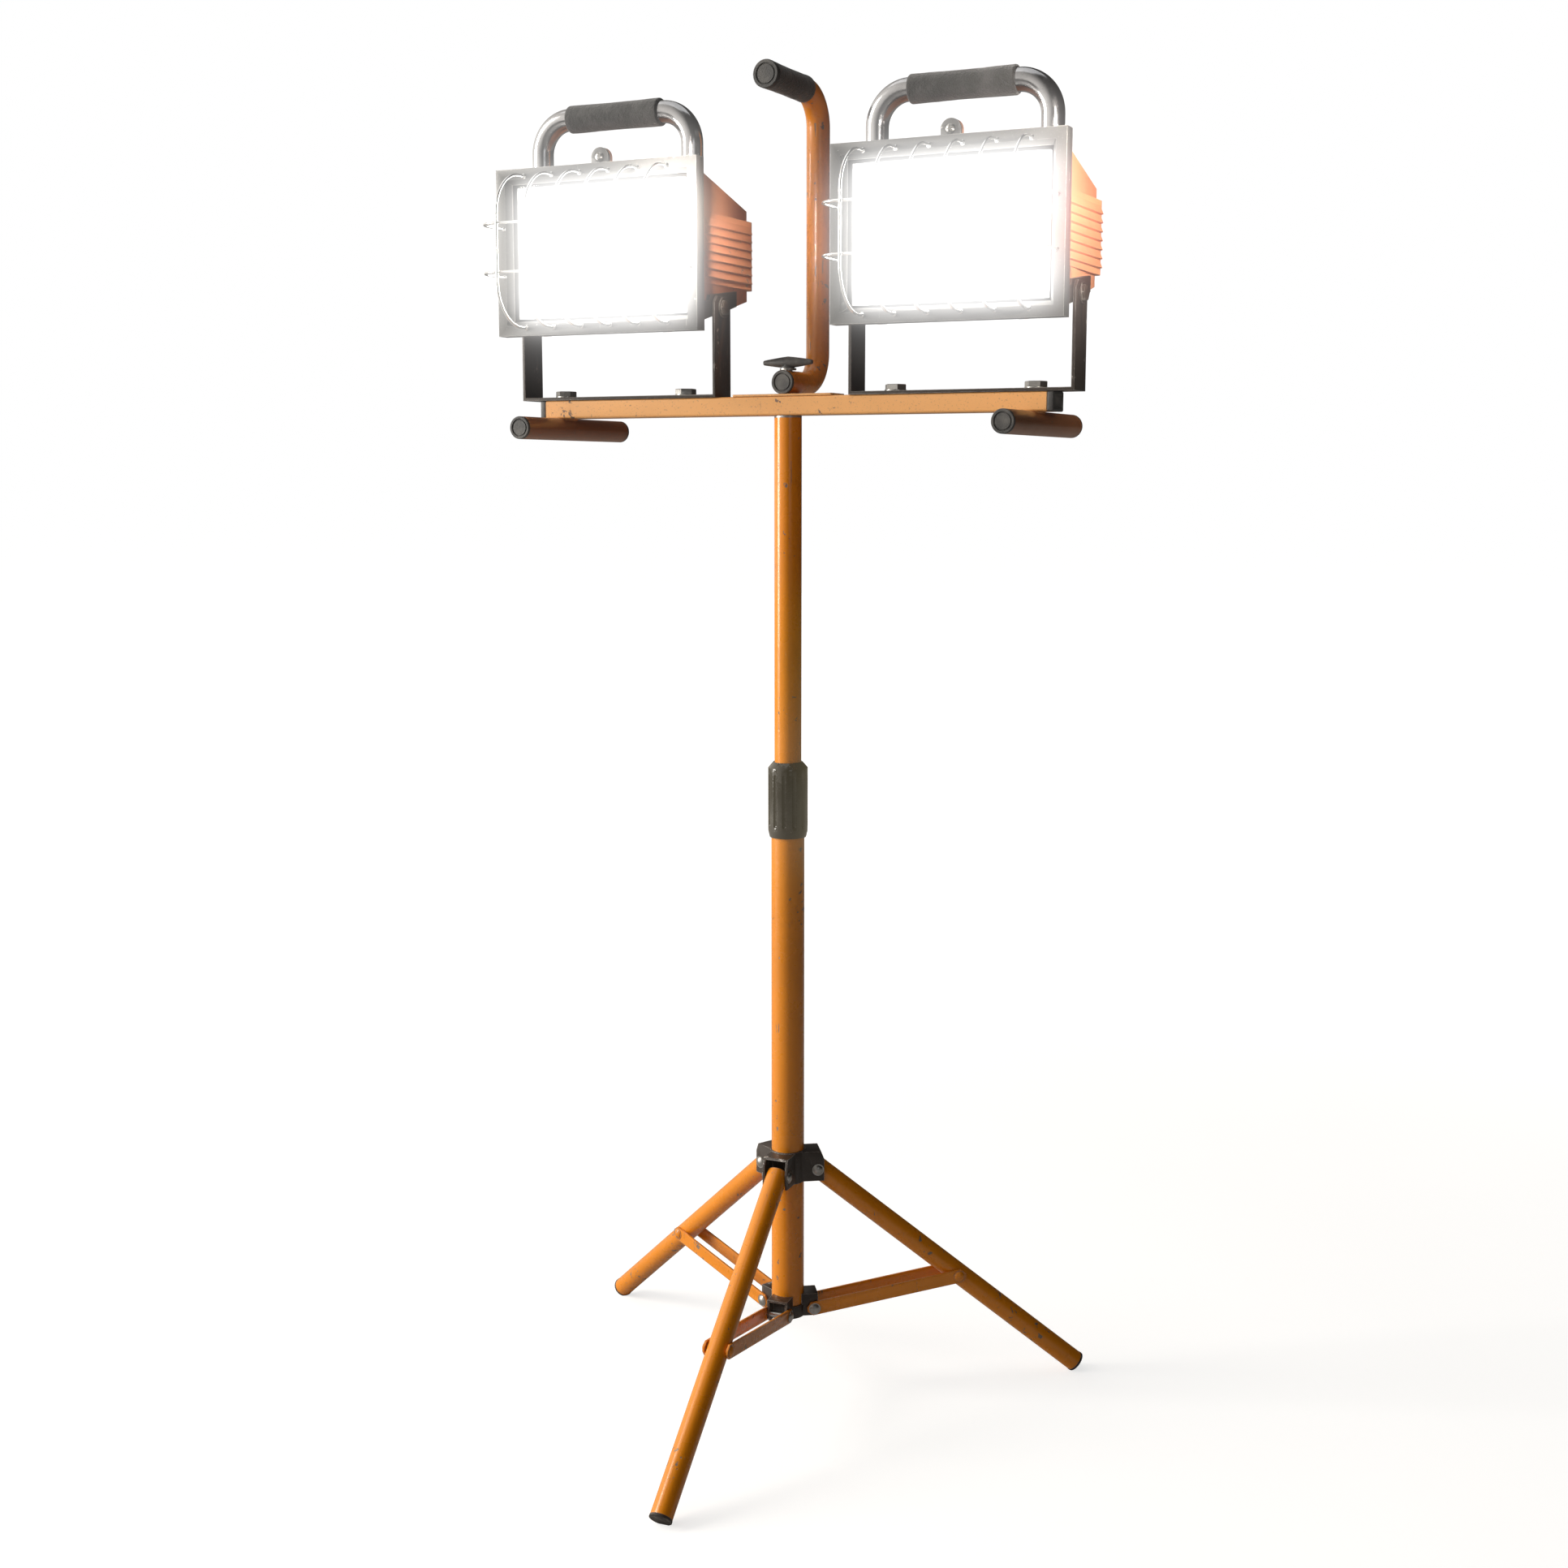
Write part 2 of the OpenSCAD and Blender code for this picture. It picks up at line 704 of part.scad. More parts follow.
// Cast housing with its hinge lugs, latch lug and bolt holes
module housing(way) {
    color(paint) at_head(way) difference() {
        union() {
            house_form();
            for (side = [-1, 1]) translate([side * (hinge_x + 6.3), hinge_y, 0]) {
                translate([-2, -2.6, hinge_z - 2.4]) cube([4, 5.6, head_z - house_half_h + 3 - hinge_z]);
            }
            translate([-lug_r, house_front, head_z + house_half_h - 4])
                cube([2 * lug_r, 4, lug_z - head_z - house_half_h + 4]);
            translate([0, 0, lug_z]) rod_y(house_front, house_front + 4, lug_r);
        }
        house_hollow();
        translate([0, hinge_y, hinge_z]) rod_x(-hinge_x - 20, hinge_x + 20, hinge_r + run);
        translate([0, 0, lug_z]) rod_y(house_front - over, house_front + 5, 3.4);
        translate([0, 0, pivot_height]) rod_x(-bezel_w, bezel_w, tilt_r + run);
        translate([0, 0, gland_z]) rod_y(house_end - 8, house_end + over, 6.5);
    }
}

// Finned covers on both sides of the housing, wrapped round its back corners
module side_covers(way) {
    fin_pitch = (cover_h - 12) / fin_count;
    color(paint) at_head(way) difference() {
        for (side = [-1, 1]) difference() {
            translate([side * (cover_half + 70) / 2, (cover_front + cover_end) / 2, head_z])
                linear_extrude(cover_h, center = true)
                    round_rect(cover_half - 70, cover_end - cover_front, 3);
            for (i = [0:fin_count - 1])
                translate([side * cover_half, (cover_front + cover_end) / 2 + 6, head_z + (i - 3) * fin_pitch])
                    cube([3, cover_end - cover_front - 30, fin_pitch * 0.45], center = true);
        }
        house_form();
    }
}

// Rolled trough with two end plates and a front flange
module reflector(way) {
    color("#d9dbdd") at_head(way) difference() {
        union() {
            translate([0, trough_y, head_z]) difference() {
                rod_x(-trough_half - 1, trough_half + 1, trough_r);
                rod_x(-trough_half, trough_half, trough_r - 1);
                translate([0, -trough_r, 0]) cube([2 * bezel_w, 2 * trough_r, 3 * trough_r], center = true);
            }
            difference() {
                translate([0, trough_y - 0.5, head_z])
                    cube([2 * trough_half + 14, 1, 2 * trough_r + 6], center = true);
                translate([0, trough_y - 0.5, head_z])
                    cube([2 * trough_half, 3, 2 * trough_r - 2], center = true);
            }
        }
        translate([0, lamp_y, head_z]) rod_x(-bezel_w, bezel_w, 8);
    }
}

// Double-ended halogen lamp with its ceramic ends
module halogen_tube(way) {
    color("#fff6dc") at_head(way) translate([0, lamp_y, head_z]) {
        rod_x(-42, 42, 6);
        for (side = [-1, 1]) translate([side * 42, 0, 0]) rotate([0, side * 90, 0]) {
            cylinder(h = 5, r1 = 6, r2 = 2.5);
            translate([0, 0, 5]) cylinder(h = 12, r = 4.5);
        }
    }
}

// Ceramic holders, one at each end of the lamp, that seat on the housing's side walls
module lamp_holders(way) {
    color("#e8e4da") at_head(way) intersection() {
        house_hollow();
        translate([0, lamp_y, head_z]) for (side = [-1, 1])
            translate([side * 59, 0, 0]) rotate([0, side * 90, 0]) cylinder(h = house_half - 59, r = 7.6);
    }
}

// Steel ears under the side covers, with the tilt bolts that turn in the yoke
module tilt_mounts(way) {
    low = head_z - house_half_h;
    color(dark_steel) at_head(way) {
        difference() {
            for (side = [-1, 1]) translate([side * (house_half_back + strap_in - 0.7) / 2, 0, 0])
                rotate([90, 0, 90]) linear_extrude(strap_in - 0.7 - house_half_back, center = true)
                    polygon([[-34, low + 2], [12, low + 13], [35, low + 19], [35, low + 33],
                        [-17, low + 26], [-19, low + 21], [-32, low + 19]]);
            house_form();
            translate([0, 0, pivot_height]) rod_x(-bezel_w, bezel_w, tilt_r + run);
        }
        translate([0, 0, pivot_height]) for (side = [-1, 1]) translate([side * strap_out, 0, 0])
            rotate([0, side * 90, 0]) {
                translate([0, 0, trough_half + 1 + gap - strap_out])
                    cylinder(h = strap_out - trough_half - 1 - gap + 0.3, r = tilt_r);
                translate([0, 0, 0.3]) cylinder(h = 1.6, r = 9);
                translate([0, 0, 1.9]) cylinder(h = 3.4, r1 = 7.5, r2 = 5);
            }
    }
}

// Solid along the line of a head's handle, from below the housing's top
module grip_line(r) {
    foot_z = head_z + house_back_h / 2 + 6;
    translate([0, grip_y, foot_z]) rotate([-90, 0, 0]) hoop(r, grip_span / 2, grip_z - foot_z, grip_bend);
}

// Bent steel carrying handle of a head, its feet cut to the slope of the housing
module head_handle(way) {
    color(zinc) at_head(way) difference() {
        grip_line(grip_tube_r);
        grip_line(grip_tube_r - tube_wall);
        house_form();
    }
}

module head_foam(way) {
    color(black) at_head(way) translate([0, grip_y, grip_z]) difference() {
        rod_x(-foam_l / 2, foam_l / 2, grip_tube_r + foam_t);
        rod_x(-foam_l / 2 - over, foam_l / 2 + over, grip_tube_r);
    }
}

// Cable gland in the back wall, left empty
module cable_gland(way) {
    color(black) at_head(way) translate([0, 0, gland_z]) difference() {
        union() {
            rod_y(house_end - 6, house_end, 6.5);
            translate([0, house_end, 0]) rotate([-90, 0, 0]) {
                hex(0, 6, hex_flats);
                cylinder(h = 14, r = 7.4);
                translate([0, 0, 14]) cylinder(h = 7, r1 = 7.4, r2 = 5.2);
            }
        }
        rod_y(house_end - 8, house_end + 30, gland_bore_r);
    }
}

// ---------- Hinged doors of the heads ----------

// Cast bezel: a chamfered window, a pocket for the glass, hinge lugs and a latch lug
module bezel(way) {
    half_w = bezel_w / 2;
    half_h = bezel_h / 2;
    chamfer = 4;
    slope = chamfer / (glass_y + bezel_front) * over;
    color("#8d8d8c") at_head(way) difference() {
        union() {
            translate([-half_w, -bezel_front, head_z - half_h]) cube([bezel_w, bezel_t, bezel_h]);
            for (side = [-1, 1]) translate([side * (hinge_x + 2), 0, 0]) {
                translate([-2, door_back - 1, hinge_z - 2.4]) cube([4, 7, 4.8]);
            }
            translate([-lug_r, door_back - 3, head_z + half_h - 1]) cube([2 * lug_r, 3, lug_z - head_z - half_h + 1]);
            translate([0, 0, lug_z]) rod_y(door_back - 3, door_back, lug_r);
        }
        taper_box(-bezel_front - over, glass_y + over,
            half_w - bezel_rim + slope, half_w - bezel_rim - chamfer - slope,
            half_h - bezel_rim + slope, half_h - bezel_rim - chamfer - slope);
        translate([0, (glass_y + door_back + over) / 2, head_z])
            cube([2 * glass_half_w, door_back + over - glass_y, 2 * glass_half_h], center = true);
        translate([0, hinge_y, hinge_z]) rod_x(-hinge_x - 20, hinge_x + 20, hinge_r);
        translate([0, 0, lug_z]) rod_y(-bezel_front, bezel_front, 2);
    }
}

module glass(way) {
    color("#ffffff") at_head(way) translate([0, glass_y + glass_t / 2, head_z])
        cube([2 * glass_half_w - 1, glass_t, 2 * glass_half_h - 1], center = true);
}

// Seal between the glass and the housing
module door_seal(way) {
    depth = door_back - glass_y - glass_t;
    color(black) at_head(way) translate([0, glass_y + glass_t + depth / 2, head_z]) difference() {
        cube([2 * glass_half_w - 1, depth, 2 * glass_half_h - 1], center = true);
        cube([2 * glass_half_w - 11, depth + 2, 2 * glass_half_h - 11], center = true);
    }
}

// Upright wire hoops crossed by two level ones behind them, welded to the bezel's rim
module wire_guard(way) {
    rim = 7;
    color("#c9c9c6") at_head(way) translate([0, -bezel_front, head_z]) {
        for (i = [0:5]) translate([(i - 2.5) * bezel_w / 7, 0, 0]) rotate([0, 90, 0])
            hoop(wire_r, bezel_h / 2 - rim, guard_reach, guard_reach * 0.85);
        for (z = [-21.5, 22]) translate([0, 0, z])
            hoop(wire_r, bezel_w / 2 - rim, guard_reach - wire_d - 0.05, guard_reach * 0.4);
    }
}

// Hinge pins and the captive latch screw
module door_hardware(way) {
    color(zinc) at_head(way) {
        translate([0, hinge_y, hinge_z]) for (side = [-1, 1])
            translate([side * (hinge_x + 4.2), 0, 0]) rod_x(-4.5, 4.5, hinge_r);
        translate([0, 0, lug_z]) {
            rod_y(door_back - 3, house_front + 7, 2);
            dome(door_back - 3, -1, 4.2, 2.8);
        }
    }
}

lower_tube();
grip_wedge();
tube_plug();
bottom_hub();
hub_pins();
leg_collar();
leg_pins();
for (k = [0:2]) {
    leg_tube(k);
    foot_cap(k);
    brace(k);
}
lock_ring();
upper_tube();
slide_bush();
mast_spigot();
crossbar();
end_caps();
saddle_plate();
handle_tube();
handle_foam();
yoke_bolts();
clamp_screw();
clamp_knob();
for (side = [["left", -1], ["right", 1]]) {
    rest_tube(side[1]);
    yoke(side[1]);
    housing(side[1]);
    side_covers(side[1]);
    reflector(side[1]);
    halogen_tube(side[1]);
    lamp_holders(side[1]);
    tilt_mounts(side[1]);
    head_handle(side[1]);
    head_foam(side[1]);
    cable_gland(side[1]);
    bezel(side[1]);
    glass(side[1]);
    door_seal(side[1]);
    wire_guard(side[1]);
    door_hardware(side[1]);
}
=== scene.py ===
import json
import math
import random

import bmesh
import bpy
from mathutils import Matrix, Vector, noise


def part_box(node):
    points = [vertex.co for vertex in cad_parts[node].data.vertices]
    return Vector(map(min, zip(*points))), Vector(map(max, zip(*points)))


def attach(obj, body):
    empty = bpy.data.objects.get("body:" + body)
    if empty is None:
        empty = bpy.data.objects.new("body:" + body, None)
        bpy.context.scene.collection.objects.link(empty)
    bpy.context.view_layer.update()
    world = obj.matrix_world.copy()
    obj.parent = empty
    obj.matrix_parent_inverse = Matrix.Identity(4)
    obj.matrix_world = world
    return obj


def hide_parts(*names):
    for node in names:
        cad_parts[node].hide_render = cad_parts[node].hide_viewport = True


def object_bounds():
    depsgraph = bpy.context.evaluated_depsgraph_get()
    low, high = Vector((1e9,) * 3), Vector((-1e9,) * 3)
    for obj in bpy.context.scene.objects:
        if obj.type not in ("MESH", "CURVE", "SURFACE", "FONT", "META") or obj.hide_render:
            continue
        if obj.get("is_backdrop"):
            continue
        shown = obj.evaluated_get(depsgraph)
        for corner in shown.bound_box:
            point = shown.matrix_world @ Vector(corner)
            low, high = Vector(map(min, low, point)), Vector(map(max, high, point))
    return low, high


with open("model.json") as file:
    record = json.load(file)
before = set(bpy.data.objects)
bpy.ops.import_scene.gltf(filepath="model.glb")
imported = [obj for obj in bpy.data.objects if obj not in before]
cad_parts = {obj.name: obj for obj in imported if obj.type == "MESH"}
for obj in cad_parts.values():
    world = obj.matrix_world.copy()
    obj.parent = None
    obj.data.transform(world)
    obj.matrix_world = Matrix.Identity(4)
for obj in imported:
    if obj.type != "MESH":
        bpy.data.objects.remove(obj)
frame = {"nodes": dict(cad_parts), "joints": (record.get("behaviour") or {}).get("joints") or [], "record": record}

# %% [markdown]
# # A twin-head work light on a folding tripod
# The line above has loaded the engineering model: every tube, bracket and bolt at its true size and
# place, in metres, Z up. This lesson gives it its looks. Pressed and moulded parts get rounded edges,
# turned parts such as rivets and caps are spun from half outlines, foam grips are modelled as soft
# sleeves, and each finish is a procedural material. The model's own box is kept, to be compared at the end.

cad_low, cad_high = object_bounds()
mm = 0.001
sides = (("left", -1), ("right", 1))
joint = {j["name"]: j for j in frame["joints"]}
body_of = {n: b for b, ns in frame["record"]["behaviour"]["bodies"].items() for n in ns}
slot_of = {s["node"]: s["material_slot"] for s in frame["record"]["subparts"]}
print("bare model, mm:", [round(c / mm, 1) for c in cad_high - cad_low])

# %% [markdown]
# ## Camera
# The object is seen from the front, a little from its right, slightly above the middle of the mast.
# The place and the angles were solved from how the upright mast, the level bar and the feet appear.
# A tall object needs distance, so the lens is a mild one and nothing is shifted or blurred.

# %% Camera
camera_data = bpy.data.cameras.new("camera")
camera_data.lens = 46.15
camera_data.sensor_width = 36
camera = bpy.data.objects.new("camera", camera_data)
camera.location = (0.8069, -1.6687, 0.8743)
camera.rotation_euler = (math.radians(90 - 8.577), 0, math.radians(25.92))
bpy.context.scene.collection.objects.link(camera)
bpy.context.scene.camera = camera
print("camera at", [round(c, 3) for c in camera.location])

# %% [markdown]
# ## Small helpers for node trees
# Every material below is a tree of nodes. Writing it by hand takes two steps again and again: add a
# node with its settings, and connect a socket or give it a value. Two short helpers do that, so the
# cells that follow read as a description of the finish.


# %% Node helpers
def add(tree, kind, settings=None, **inputs):
    """Adds a node, sets its properties and fills its inputs from values or from other sockets."""
    new = tree.nodes.new("ShaderNode" + kind)
    for key, value in (settings or {}).items():
        setattr(new, key, value)
    for key, value in inputs.items():
        fill(tree, new.inputs[key.replace("_", " ")], value)
    return new


def fill(tree, socket, value):
    """Links a socket to another one, or sets its value."""
    if isinstance(value, bpy.types.NodeSocket):
        tree.links.new(value, socket)
    else:
        socket.default_value = value


def math_node(tree, operation, first, second=0.0, clamp=False):
    """One arithmetic step; its first two inputs share a name, so they are filled by number."""
    new = tree.nodes.new("ShaderNodeMath")
    new.operation = operation
    new.use_clamp = clamp
    fill(tree, new.inputs[0], first)
    fill(tree, new.inputs[1], second)
    return new.outputs[0]


def step_mask(tree, value, low, high):
    """A soft threshold: 0 below low, 1 above high."""
    settings = {"interpolation_type": "SMOOTHSTEP"}
    new = add(tree, "MapRange", settings, Value=value, From_Min=low, From_Max=high)
    return new.outputs["Result"]


def mix_colour(tree, share, first, second):
    """The first colour at share 0, the second at share 1."""
    new = tree.nodes.new("ShaderNodeMix")
    new.data_type = "RGBA"
    fill(tree, new.inputs[0], share)
    fill(tree, new.inputs[6], first)
    fill(tree, new.inputs[7], second)
    return new.outputs[2]


def noise_at(tree, where, size, detail=4.0, rough=0.55, distortion=0.0):
    """Noise whose blotches are about size metres across."""
    new = add(tree, "TexNoise", None, Vector=where, Scale=1 / size, Detail=detail,
              Roughness=rough, Distortion=distortion)
    return new.outputs[0]


def new_group(name, inputs, outputs):
    """An empty shader node group. Inputs are (name, type, default) and outputs (name, type)."""
    tree = bpy.data.node_groups.new(name, "ShaderNodeTree")
    for label, kind, default in inputs:
        made = tree.interface.new_socket(name=label, in_out="INPUT", socket_type="NodeSocket" + kind)
        made.default_value = default
    for label, kind in outputs:
        tree.interface.new_socket(name=label, in_out="OUTPUT", socket_type="NodeSocket" + kind)
    return tree, tree.nodes.new("NodeGroupInput").outputs, tree.nodes.new("NodeGroupOutput").inputs


print("node helpers ready")

# %% [markdown]
# ## Worn paint
# The tubes wear a gloss orange paint that has lived in a workshop: small chips down to grey primer,
# a few longer scratches, rubbed edges and a faint change of tone along each tube. One node group
# makes all of it, and each painted material gives it its own colours and amounts. Edges are found by
# comparing the surface's direction with a rounded one; where the two differ, paint has rubbed off.

# %% Worn paint group
paint_group, given, result = new_group("worn_paint", [
    ("Paint", "Color", (0.8, 0.3, 0.02, 1)), ("Primer", "Color", (0.16, 0.12, 0.09, 1)),
    ("Chips", "Float", 0.5), ("Scratches", "Float", 0.5), ("Edge Wear", "Float", 0.5),
    ("Speckle", "Float", 0.0), ("Gloss", "Float", 0.25), ("Seed", "Float", 0.0)],
    [("Color", "Color"), ("Roughness", "Float"), ("Metallic", "Float"), ("Height", "Float")])
where = add(paint_group, "TexCoord").outputs["Object"]
moved = add(paint_group, "VectorMath", {"operation": "ADD"})
paint_group.links.new(where, moved.inputs[0])
paint_group.links.new(given["Seed"], moved.inputs[1])
spot = moved.outputs[0]
# Chips gather in patches: a coarse noise decides where, a fine one gives them their ragged outline.
patches = noise_at(paint_group, spot, 0.055, 2.0)
ragged = noise_at(paint_group, spot, 0.0075, 5.0, 0.62, 0.4)
crowd = math_node(paint_group, "MULTIPLY", patches, 0.55)
chip_field = math_node(paint_group, "ADD", ragged, crowd)
chip_floor = math_node(paint_group, "MULTIPLY_ADD", given["Chips"], -0.14)
chip_floor.node.inputs[2].default_value = 1.02
chip_over = math_node(paint_group, "SUBTRACT", chip_field, chip_floor)
chips = step_mask(paint_group, chip_over, 0.0, 0.012)
# Scratches are noise drawn out along one direction and cut to a thin line.
drawn = add(paint_group, "Mapping", None, Vector=spot, Rotation=(0.5, 0.35, 0.2), Scale=(1, 1, 0.045))
hair = noise_at(paint_group, drawn.outputs[0], 0.0022, 2.0)
where_scratched = step_mask(paint_group, noise_at(paint_group, spot, 0.03, 3.0), 0.56, 0.62)
hair_line = step_mask(paint_group, hair, 0.665, 0.69)
scratches = math_node(paint_group, "MULTIPLY", hair_line, where_scratched)
scratches = math_node(paint_group, "MULTIPLY", scratches, given["Scratches"])
# Rubbed edges.
rounded = add(paint_group, "Bevel", {"samples": 4}, Radius=0.0016)
flat = add(paint_group, "NewGeometry")
agree = add(paint_group, "VectorMath", {"operation": "DOT_PRODUCT"})
paint_group.links.new(rounded.outputs[0], agree.inputs[0])
paint_group.links.new(flat.outputs["Normal"], agree.inputs[1])
edge = math_node(paint_group, "SUBTRACT", 1.0, agree.outputs["Value"])
broken = math_node(paint_group, "MULTIPLY", edge, ragged)
edge_floor = math_node(paint_group, "MULTIPLY_ADD", given["Edge Wear"], -0.11)
edge_floor.node.inputs[2].default_value = 0.135
edge_over = math_node(paint_group, "SUBTRACT", broken, edge_floor)
rubbed = step_mask(paint_group, edge_over, 0.0, 0.02)
# Fine dark specks from dust that settled in the paint.
speck_noise = noise_at(paint_group, spot, 0.0016, 2.0)
specks = math_node(paint_group, "MULTIPLY", step_mask(paint_group, speck_noise, 0.6, 0.7), given["Speckle"])
# All damage together, then the colour from bottom to top.
bare = math_node(paint_group, "MAXIMUM", chips, rubbed)
bare = math_node(paint_group, "MAXIMUM", bare, scratches, clamp=True)
tone = noise_at(paint_group, spot, 0.12, 3.0)
deep = add(paint_group, "HueSaturation", None, Value=0.7, Color=given["Paint"]).outputs[0]
tone_share = step_mask(paint_group, tone, 0.42, 0.75)
coat = mix_colour(paint_group, math_node(paint_group, "MULTIPLY", tone_share, 0.4), given["Paint"], deep)
coat = mix_colour(paint_group, specks, coat, given["Primer"])
steel_tone = noise_at(paint_group, spot, 0.004, 2.0)
pale_primer = add(paint_group, "HueSaturation", None, Value=1.9, Color=given["Primer"]).outputs[0]
under = mix_colour(paint_group, steel_tone, given["Primer"], pale_primer)
fill(paint_group, result["Color"], mix_colour(paint_group, bare, coat, under))
smear = math_node(paint_group, "MULTIPLY", noise_at(paint_group, spot, 0.02, 4.0), 0.16)
rough = math_node(paint_group, "ADD", given["Gloss"], smear)
rough = math_node(paint_group, "ADD", rough, math_node(paint_group, "MULTIPLY", bare, 0.3), clamp=True)
fill(paint_group, result["Roughness"], rough)
fill(paint_group, result["Metallic"], math_node(paint_group, "MULTIPLY", bare, 0.35))
peel = math_node(paint_group, "MULTIPLY", noise_at(paint_group, spot, 0.0024, 1.0), 0.12)
fill(paint_group, result["Height"], math_node(paint_group, "SUBTRACT", peel, bare))
print("worn paint:", len(paint_group.nodes), "nodes")

# %% [markdown]
# ## Moulded grain
# Plastic and rubber parts have a fine grain from their mould and dust that lightens them here and
# there. The group puts out a shade, a roughness change and a height.

# %% Moulded grain group
grain_group, given, result = new_group("moulded_grain", [
    ("Colour", "Color", (0.03, 0.03, 0.03, 1)), ("Grain Size", "Float", 0.0009), ("Dust", "Float", 0.2)],
    [("Color", "Color"), ("Roughness", "Float"), ("Height", "Float")])
where = add(grain_group, "TexCoord").outputs["Object"]
per_metre = math_node(grain_group, "DIVIDE", 1.0, given["Grain Size"])
pits = add(grain_group, "TexVoronoi", None, Vector=where, Scale=per_metre).outputs["Distance"]
fine = add(grain_group, "TexNoise", None, Vector=where, Scale=per_metre, Detail=3.0).outputs[0]
dusty = step_mask(grain_group, noise_at(grain_group, where, 0.018, 6.0, 0.65), 0.45, 0.75)
dusty = math_node(grain_group, "MULTIPLY", dusty, given["Dust"])
dusted = mix_colour(grain_group, dusty, given["Colour"], (0.42, 0.39, 0.35, 1))
# Painted shade: the pits of the grain, its low spots, are darkened in colour as if shade lay in them.
pit_shade = math_node(grain_group, "MULTIPLY", step_mask(grain_group, pits, 0.45, 0.0), 0.35)
fill(grain_group, result["Color"], mix_colour(grain_group, pit_shade, dusted, (0.01, 0.01, 0.01, 1)))
fill(grain_group, result["Roughness"], math_node(grain_group, "MULTIPLY", dusty, 0.5))
fine_half = math_node(grain_group, "MULTIPLY", fine, 0.5)
fill(grain_group, result["Height"], math_node(grain_group, "ADD", pits, fine_half))
print("moulded grain:", len(grain_group.nodes), "nodes")

# %% [markdown]
# ## Drawn metal
# Plated wire, fasteners and the chromed handle tubes show faint lines along which they were drawn or
# turned, and cloudy patches where hands and weather dulled the plating. The lines follow one direction
# of the part, so the group takes a stretch for each axis.

# %% Drawn metal group
drawn_group, given, result = new_group("drawn_metal", [
    ("Colour", "Color", (0.6, 0.6, 0.6, 1)), ("Stretch", "Vector", (1, 1, 0.05)), ("Tarnish", "Float", 0.4)],
    [("Color", "Color"), ("Roughness", "Float"), ("Height", "Float")])
where = add(drawn_group, "TexCoord").outputs["Object"]
stretched = add(drawn_group, "VectorMath", {"operation": "MULTIPLY"})
drawn_group.links.new(where, stretched.inputs[0])
drawn_group.links.new(given["Stretch"], stretched.inputs[1])
lines = noise_at(drawn_group, stretched.outputs[0], 0.0006, 3.0, 0.6)
clouds = step_mask(drawn_group, noise_at(drawn_group, where, 0.012, 5.0, 0.6), 0.4, 0.72)
tarnish = math_node(drawn_group, "MULTIPLY", clouds, given["Tarnish"])
dull = add(drawn_group, "HueSaturation", None, Value=0.5, Saturation=1.1, Color=given["Colour"]).outputs[0]
fill(drawn_group, result["Color"], mix_colour(drawn_group, tarnish, given["Colour"], dull))
line_rough = math_node(drawn_group, "MULTIPLY", lines, 0.12)
dull = math_node(drawn_group, "MULTIPLY", tarnish, 0.35)
fill(drawn_group, result["Roughness"], math_node(drawn_group, "ADD", line_rough, dull))
fill(drawn_group, result["Height"], lines)
print("drawn metal:", len(drawn_group.nodes), "nodes")

# %% [markdown]
# ## Materials
# Each material keeps its own shader and feeds it from a group. What is the same all over, such as the
# clear coat of the paint, is set straight on the shader. The names are those of the model's material
# list, so that a reader finds the same word in both places.


# %% Material helpers
made_materials = {}


def material(name, **constants):
    """A new material; constants go straight on the sockets of its shader."""
    mat = bpy.data.materials.new(name)
    mat.use_nodes = True
    shader = mat.node_tree.nodes["Principled BSDF"]
    for key, value in constants.items():
        shader.inputs[key.replace("_", " ")].default_value = value
    made_materials[name] = mat
    return mat.node_tree, shader


def place_group(tree, group, **values):
    """Puts a group in a material with this material's own values."""
    new = tree.nodes.new("ShaderNodeGroup")
    new.node_tree = group
    for key, value in values.items():
        fill(tree, new.inputs[key.replace("_", " ")], value)
    return new.outputs


def raise_by(tree, shader, height, depth, strength=1.0):
    """Feeds a height, whose full step is depth metres, to the shader's normal."""
    bump = add(tree, "Bump", None, Height=height, Distance=depth, Strength=strength)
    tree.links.new(bump.outputs[0], shader.inputs["Normal"])


def painted(name, colour, primer, chips, scratches, edge_wear, speckle, gloss, seed, coat=0.3, depth=0.0003):
    """A painted finish; the shares run from 0 to 1 and the seed shifts its pattern."""
    tree, shader = material(name, Coat_Weight=coat, Coat_Roughness=0.12)
    out = place_group(tree, paint_group, Paint=colour, Primer=primer, Chips=chips, Scratches=scratches,
                      Edge_Wear=edge_wear, Speckle=speckle, Gloss=gloss, Seed=seed)
    for socket, target in (("Color", "Base Color"), ("Roughness", "Roughness"), ("Metallic", "Metallic")):
        tree.links.new(out[socket], shader.inputs[target])
    raise_by(tree, shader, out["Height"], depth)


def moulded(name, colour, grain, dust, roughness, depth, **constants):
    """A moulded plastic or rubber finish; grain and depth are in metres."""
    tree, shader = material(name, **constants)
    out = place_group(tree, grain_group, Colour=colour, Grain_Size=grain, Dust=dust)
    tree.links.new(out["Color"], shader.inputs["Base Color"])
    total = math_node(tree, "ADD", out["Roughness"], roughness, clamp=True)
    tree.links.new(total, shader.inputs["Roughness"])
    raise_by(tree, shader, out["Height"], depth)


def plated(name, colour, stretch, tarnish, roughness, depth):
    """A bright metal finish with fine lines along its least stretched axis."""
    tree, shader = material(name, Metallic=1.0)
    out = place_group(tree, drawn_group, Colour=colour, Stretch=stretch, Tarnish=tarnish)
    tree.links.new(out["Color"], shader.inputs["Base Color"])
    total = math_node(tree, "ADD", out["Roughness"], roughness, clamp=True)
    tree.links.new(total, shader.inputs["Roughness"])
    raise_by(tree, shader, out["Height"], depth)


print("material helpers ready")

